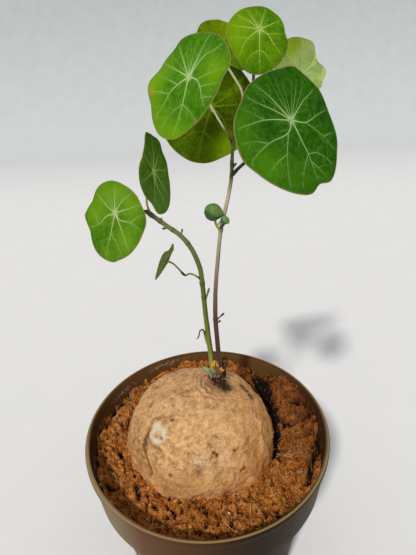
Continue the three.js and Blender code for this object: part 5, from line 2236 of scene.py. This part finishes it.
                pile.faces_of(verts, draw.choices(finishes, (3, 5, 2))[0])
            mesh = to_mesh(pile.bm, "pile")
            whole.bm.from_mesh(mesh)
            bpy.data.meshes.remove(mesh)
        for face in whole.bm.faces:
            face.smooth = False
        return whole.finish([], Slot.COIR)

    def _strands(
        self, name: str, finish: Material, count: int, seed: int, lengths: Pair,
        thickness: Pair, lift: float,
    ) -> Object:
        """Lays loose fibres on the bed.

        Args:
            name: The piece's name.
            finish: The fibres' material.
            count: How many.
            seed: Seed for their places.
            lengths: Shortest and longest, in millimetres.
            thickness: Thinnest and thickest radius.
            lift: How far they rise off the bed.

        Returns:
            The piece.
        """
        draw = Random(seed)
        curve = bpy.data.curves.new(name, "CURVE")
        curve.dimensions = "3D"
        curve.bevel_depth = MM
        curve.bevel_resolution = 0
        curve.use_fill_caps = True
        points = 5
        for _ in range(count):
            x, y = self._scatter(draw)
            if self.top(x, y)[1] > 0.6:
                continue
            heading = draw.uniform(0, 2 * pi)
            length = draw.uniform(*lengths) * draw.uniform(0.5, 1)
            bow = draw.uniform(-0.6, 0.6)
            radius = draw.uniform(*thickness)
            rise = abs(draw.gauss(0, lift))
            spline = curve.splines.new("POLY")
            spline.points.add(points - 1)
            for k, point in enumerate(spline.points):
                ring = hypot(x, y)
                if ring > self.outer - 1.2:
                    x, y = x * (self.outer - 1.2) / ring, y * (self.outer - 1.2) / ring
                height = self.top(x, y)[0] + 0.3 + rise * sin(pi * (k + 0.6) / points)
                point.co = (x * MM, y * MM, height * MM, 1)
                point.radius = radius * (0.55 if k in (0, points - 1) else 1.0)
                x += length / points * cos(heading)
                y += length / points * sin(heading)
                heading += bow
        holder = add_object(f"{name}_curve", curve)
        graph = bpy.context.evaluated_depsgraph_get()
        mesh = bpy.data.meshes.new_from_object(holder.evaluated_get(graph))
        bpy.data.objects.remove(holder)
        bpy.data.curves.remove(curve)
        model = Model(name, ("deep",))
        model.bm.from_mesh(mesh)
        bpy.data.meshes.remove(mesh)
        bmesh.ops.recalc_face_normals(model.bm, faces=model.bm.faces)
        bmesh.ops.scale(model.bm, vec=(1 / MM, 1 / MM, 1 / MM), verts=model.bm.verts)
        model.faces_of(list(model.bm.verts), finish)
        return model.finish([], Slot.COIR)

    def build_fibres(self) -> None:
        """Makes the fine fibres, the stout ones and the pale long ones."""
        for name, tone, colours, count, seed, lengths, thickness, lift in (
            ("fine", "tan", ((0.30, 0.10, 0.014), (0.62, 0.25, 0.045), (0.80, 0.40, 0.11)),
             3400, 21, (2.0, 6.0), (0.09, 0.16), 0.35),
            ("stout", "brown", ((0.08, 0.024, 0.004), (0.36, 0.105, 0.014), (0.60, 0.21, 0.035)),
             2400, 22, (1.5, 4.5), (0.16, 0.30), 0.3),
            ("long", "straw", ((0.50, 0.24, 0.07), (0.76, 0.44, 0.17), (0.85, 0.56, 0.27)),
             240, 23, (5, 13), (0.10, 0.15), 0.8),
        ):
            finish = CoirFinish(f"fibre_{tone}", *colours).build()
            self._strands(f"coir_fibres_{name}", finish, count, seed, lengths, thickness, lift)

    def build_white_bits(self) -> Object:
        """Makes the few white mineral bits and the pale husk strips.

        Returns:
            The piece.
        """
        white, husk = (
            PlainFinish(*values, relief=0.2).build()
            for values in (
                ("mineral_bit", (0.62, 0.60, 0.56), (0.80, 0.79, 0.76), 0.8, 0.8),
                ("husk_strip", (0.26, 0.16, 0.11), (0.50, 0.38, 0.31), 1.2, 0.7),
            )
        )
        model = Model("white_bits", ("along",))
        for x, y, size in (
            (8.2, -41.9, 0.6), (11.8, -44.7, 0.7), (-51.5, -10.4, 0.45), (10.3, -43.0, 0.35),
            (35, -33, 0.3), (-20, -45, 0.3), (44, -18, 0.3), (-44, 12, 0.4), (-8, -46, 0.3),
        ):
            model.blob((x, y, self.top(x, y)[0] + 0.4), size, white, 3, 0.5, 0.7, (1.2, 0.9, 0.8))
        draw = Random(31)
        for x, y, heading, length, thick in (
            (-45.5, 12.5, 1.3, 4.5, 0.4), (-52, -2.5, 1.4, 4, 0.3), (-41, 21, 2.2, 5, 0.45),
            (-47, 5, 0.9, 4, 0.35), (-39.5, 31, 0.5, 4, 0.4), (-43, 27, 1.9, 3.5, 0.4),
            (-36, 37, 0.3, 4, 0.4), (-53.5, -12, 1.5, 4, 0.3), (-45, 31, 1.0, 3, 0.45),
            (-40, 36, 2.6, 3, 0.4), (-48.5, 16, 1.8, 3.5, 0.35),
        ):
            track = []
            for k in range(4):
                out, turn = k / 3 * length, heading + 0.2 * k
                px, py = x + out * cos(turn), y + out * sin(turn)
                ground = max(self.surface(px, py) + 0.6, self.top(px, py)[0])
                track.append((px, py, ground + draw.uniform(0.1, 0.6)))
            model.tube(track, (0.3 * thick, thick, 0.8 * thick, 0.2 * thick), husk, 10, 6)
        return model.finish([], Slot.COIR)


# Pot


@dataclass
class Pot:
    """The round nursery pot."""

    height: float = 105.0
    rim: float = 60.0
    band_foot: float = 57.3
    step: float = 81.0
    body_top: float = 52.6
    base: float = 42.0
    wall: float = 1.3
    floor: float = 1.8
    lip_height: float = 2.2
    lip_width: float = 0.9
    edge: float = 0.6
    hole_radius: float = 3.5
    hole_circle: float = 27.0
    holes: int = 8
    hole_sides: int = 28
    drill_length: float = 6.0
    sectors: int = 192
    collar_height: float = 102.2
    water_line: tuple[Pair, ...] = (
        (90, 100.6), (100, 101), (118, 102), (132, 100.6), (160, 98.4), (180, 96), (200, 94.5),
    )

    def build(self) -> Object:
        """Spins the pot's profile, rounds its edges and drills the drain holes.

        Returns:
            The piece.
        """
        plastic = PlasticFinish().build()
        model = Model("nursery_pot", ("inner", "lip", "ring"))
        edge, step, top = self.edge, self.step, self.height
        lip = self.rim - self.lip_width - edge
        band, body = self.band_foot - self.wall, self.body_top - self.wall
        collar = self.rim - self.lip_width
        corners = (
            (0, 0, 1), (self.base - edge, 0, 1), (self.base, edge, 1),
            (self.body_top, step - 2 * edge, 7), (self.body_top + 0.5, step - 0.9, 1),
            (self.band_foot - edge, step, 1), (self.band_foot - 0.15, step + 0.25, 1),
            (self.band_foot, step + edge, 1), (collar, self.collar_height, 6),
            (self.rim - 0.25, self.collar_height + 0.2, 1), (self.rim, top - self.lip_height, 1),
            (self.rim, top - edge, 1), (self.rim - 0.18, top - 0.18, 1), (self.rim - edge, top, 1),
            (lip, top, 1), (lip - 0.42, top - 0.18, 1), (lip - edge, top - edge, 1),
            (band, step + 3 * edge, 9), (band - edge, step + 2 * edge, 1), (body, step, 1),
            (body, step - 2 * edge, 1), (self.base - self.wall, self.floor, 1), (0, self.floor, 1),
        )
        profile = [corners[0][:2]]
        for (r0, z0, _), (r1, z1, spans) in zip(corners, corners[1:]):
            shares = [k / spans for k in range(1, spans)]
            profile += [(r0 + (r1 - r0) * s, z0 + (z1 - z0) * s) for s in shares]
            profile.append((r1, z1))
        spin(model.bm, profile, self.sectors)
        bmesh.ops.recalc_face_normals(model.bm, faces=model.bm.faces)
        inner, lip_mark, ring = model.marks.values()
        outsides = (self.base, self.body_top, self.band_foot, self.rim)
        for vert in model.bm.verts:
            radius, height = hypot(vert.co.x, vert.co.y), vert.co.z
            skin = np.interp(height, (0, step, step + 0.1, top), outsides)
            vert[inner] = float(height > 0.9 and radius < skin - 0.9 and height < top - 0.3)
            vert[lip_mark] = float(height > top - 0.1) * float(radius > self.rim - 1)
            angle = np.degrees(atan2(vert.co.y, vert.co.x)) % 360
            line = np.interp(angle, *zip(*self.water_line))
            window = clamp((angle - 96) / 8) * clamp((206 - angle) / 18)
            vert[ring] = vert[inner] * window * bell(height - line, 0.7)
        model.faces_of(list(model.bm.verts), plastic)
        piece = model.finish(["pot"], Slot.POT)
        self._drill(piece)
        return piece

    def _drill(self, piece: Object) -> None:
        """Cuts the drain holes through the pot's floor.

        Args:
            piece: The pot.
        """
        drill = bmesh.new()
        for k in range(self.holes):
            angle = 2 * pi * k / self.holes
            across, along = self.hole_circle * cos(angle), self.hole_circle * sin(angle)
            bmesh.ops.create_cone(
                drill, cap_ends=True, segments=self.hole_sides, radius1=self.hole_radius * MM,
                radius2=self.hole_radius * MM, depth=self.drill_length * MM,
                matrix=Matrix.Translation(Vector((across, along, self.floor / 2)) * MM),
            )
        cutter = add_object("drill", to_mesh(drill, "drill"))
        cut = piece.modifiers.new("drain_holes", "BOOLEAN")
        cut.operation = "DIFFERENCE"
        cut.solver = "EXACT"
        cut.object = cutter
        graph = bpy.context.evaluated_depsgraph_get()
        drilled = bpy.data.meshes.new_from_object(piece.evaluated_get(graph))
        piece.modifiers.clear()
        piece.data = drilled
        bpy.data.objects.remove(cutter)


# Room


@dataclass
class Studio:
    """Pale floor with a curved back, soft light and the camera."""

    floor_tone: Colour = (0.82, 0.80, 0.79)
    # Colour of the painted shade on the curved back.
    backdrop_shade_tone: Colour = (0.49, 0.52, 0.525)
    grain_tone: Colour = (0.70, 0.70, 0.70)
    sky: Colour = (0.95, 0.98, 1.0)
    sky_strength: float = 0.52
    key_strength: float = 1.95
    key_angle: float = 4.0
    key_from: Point = (-0.30, -0.66, 0.76)
    key_tint: Colour = (1.0, 0.985, 0.955)
    camera_at: Point = (0.004, -0.155, 0.2655)
    tilt: float = 26.8
    roll: float = 2.7
    focal_pixels: float = 417.0
    frame_height: float = 555.0
    sensor: float = 36.0
    nearest: float = 0.01
    farthest: float = 20.0

    def build_room(self) -> Object:
        """Makes the floor and its curved back.

        Returns:
            The floor.
        """
        board = Board("studio_paper")
        tone = board.layers(
            self.floor_tone,
            # Painted shade: the paper darkens towards the curved back.
            (board.axis("Y").step(600, 1950), self.backdrop_shade_tone),
            (board.noise(40).step(0.3, 0.7) * 0.15, self.grain_tone),
        )
        paper = board.close(tone, 0.9, None, 0.1)
        bm = bmesh.new()
        front, back, bend, wide, high = -2.0, 1.3, 0.5, 2.6, 2.6
        turns = [pi / 2 * k / 16 for k in range(17)]
        arc = [(back + bend * sin(turn), bend - bend * cos(turn)) for turn in turns]
        line = [bm.verts.new((-wide, y, z)) for y, z in ((front, 0), *arc, (back + bend, high))]
        edges = [bm.edges.new(pair) for pair in zip(line, line[1:])]
        made = bmesh.ops.extrude_edge_only(bm, edges=edges)
        moved = [g for g in made["geom"] if isinstance(g, BMVert)]
        bmesh.ops.translate(bm, vec=(2 * wide, 0, 0), verts=moved)
        bmesh.ops.recalc_face_normals(bm, faces=bm.faces)
        for face in bm.faces:
            face.smooth = True
        mesh = to_mesh(bm, "studio_floor")
        mesh.materials.append(paper)
        floor = add_object("studio_floor", mesh)
        return floor

    def build_light(self) -> None:
        """Makes the sky light and the soft key from the upper left."""
        world = bpy.data.worlds.new("studio_sky")
        bpy.context.scene.world = world
        world.use_nodes = True
        background = world.node_tree.nodes["Background"]
        background.inputs["Color"].default_value = (*self.sky, 1)
        background.inputs["Strength"].default_value = self.sky_strength
        key = bpy.data.lights.new("key", "SUN")
        key.energy = self.key_strength
        key.angle = radians(self.key_angle)
        key.color = self.key_tint
        lamp = add_object("key", key)
        lamp.rotation_mode = "QUATERNION"
        lamp.rotation_quaternion = Vector(self.key_from).to_track_quat("Z", "Y")

    def build_camera(self) -> None:
        """Sets the camera at the photograph's place, tilt and roll."""
        lens = bpy.data.cameras.new("camera")
        lens.sensor_width = self.sensor
        lens.lens = self.focal_pixels / self.frame_height * self.sensor
        lens.clip_start, lens.clip_end = self.nearest, self.farthest
        camera = add_object("camera", lens)
        pitch = Matrix.Rotation(radians(90 - self.tilt), 4, "X")
        turn = pitch @ Matrix.Rotation(radians(-self.roll), 4, "Z")
        camera.matrix_world = Matrix.Translation(self.camera_at) @ turn
        bpy.context.scene.camera = camera


def main() -> None:
    """Builds the room, the pot and the plant."""
    logging.basicConfig(level=logging.INFO, format="%(message)s")
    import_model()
    bpy.context.scene.view_settings.view_transform = "Standard"
    studio = Studio()
    studio.build_room()
    studio.build_light()
    studio.build_camera()
    Pot().build()
    coir = Coir()
    coir.build_bed()
    coir.build_crumbs()
    coir.build_fibres()
    coir.build_white_bits()
    Tuber().build()
    for stem in STEMS:
        stem.build()
    for seed, shape in enumerate(LEAVES, FIRST_LEAF_SEED):
        Leaf(shape, seed).build()
    for young in YOUNG_LEAVES:
        young.build()
    shoots = SmallShoots()
    shoots.build_withered()
    shoots.build_sprout()


if __name__ == "__main__":
    main()
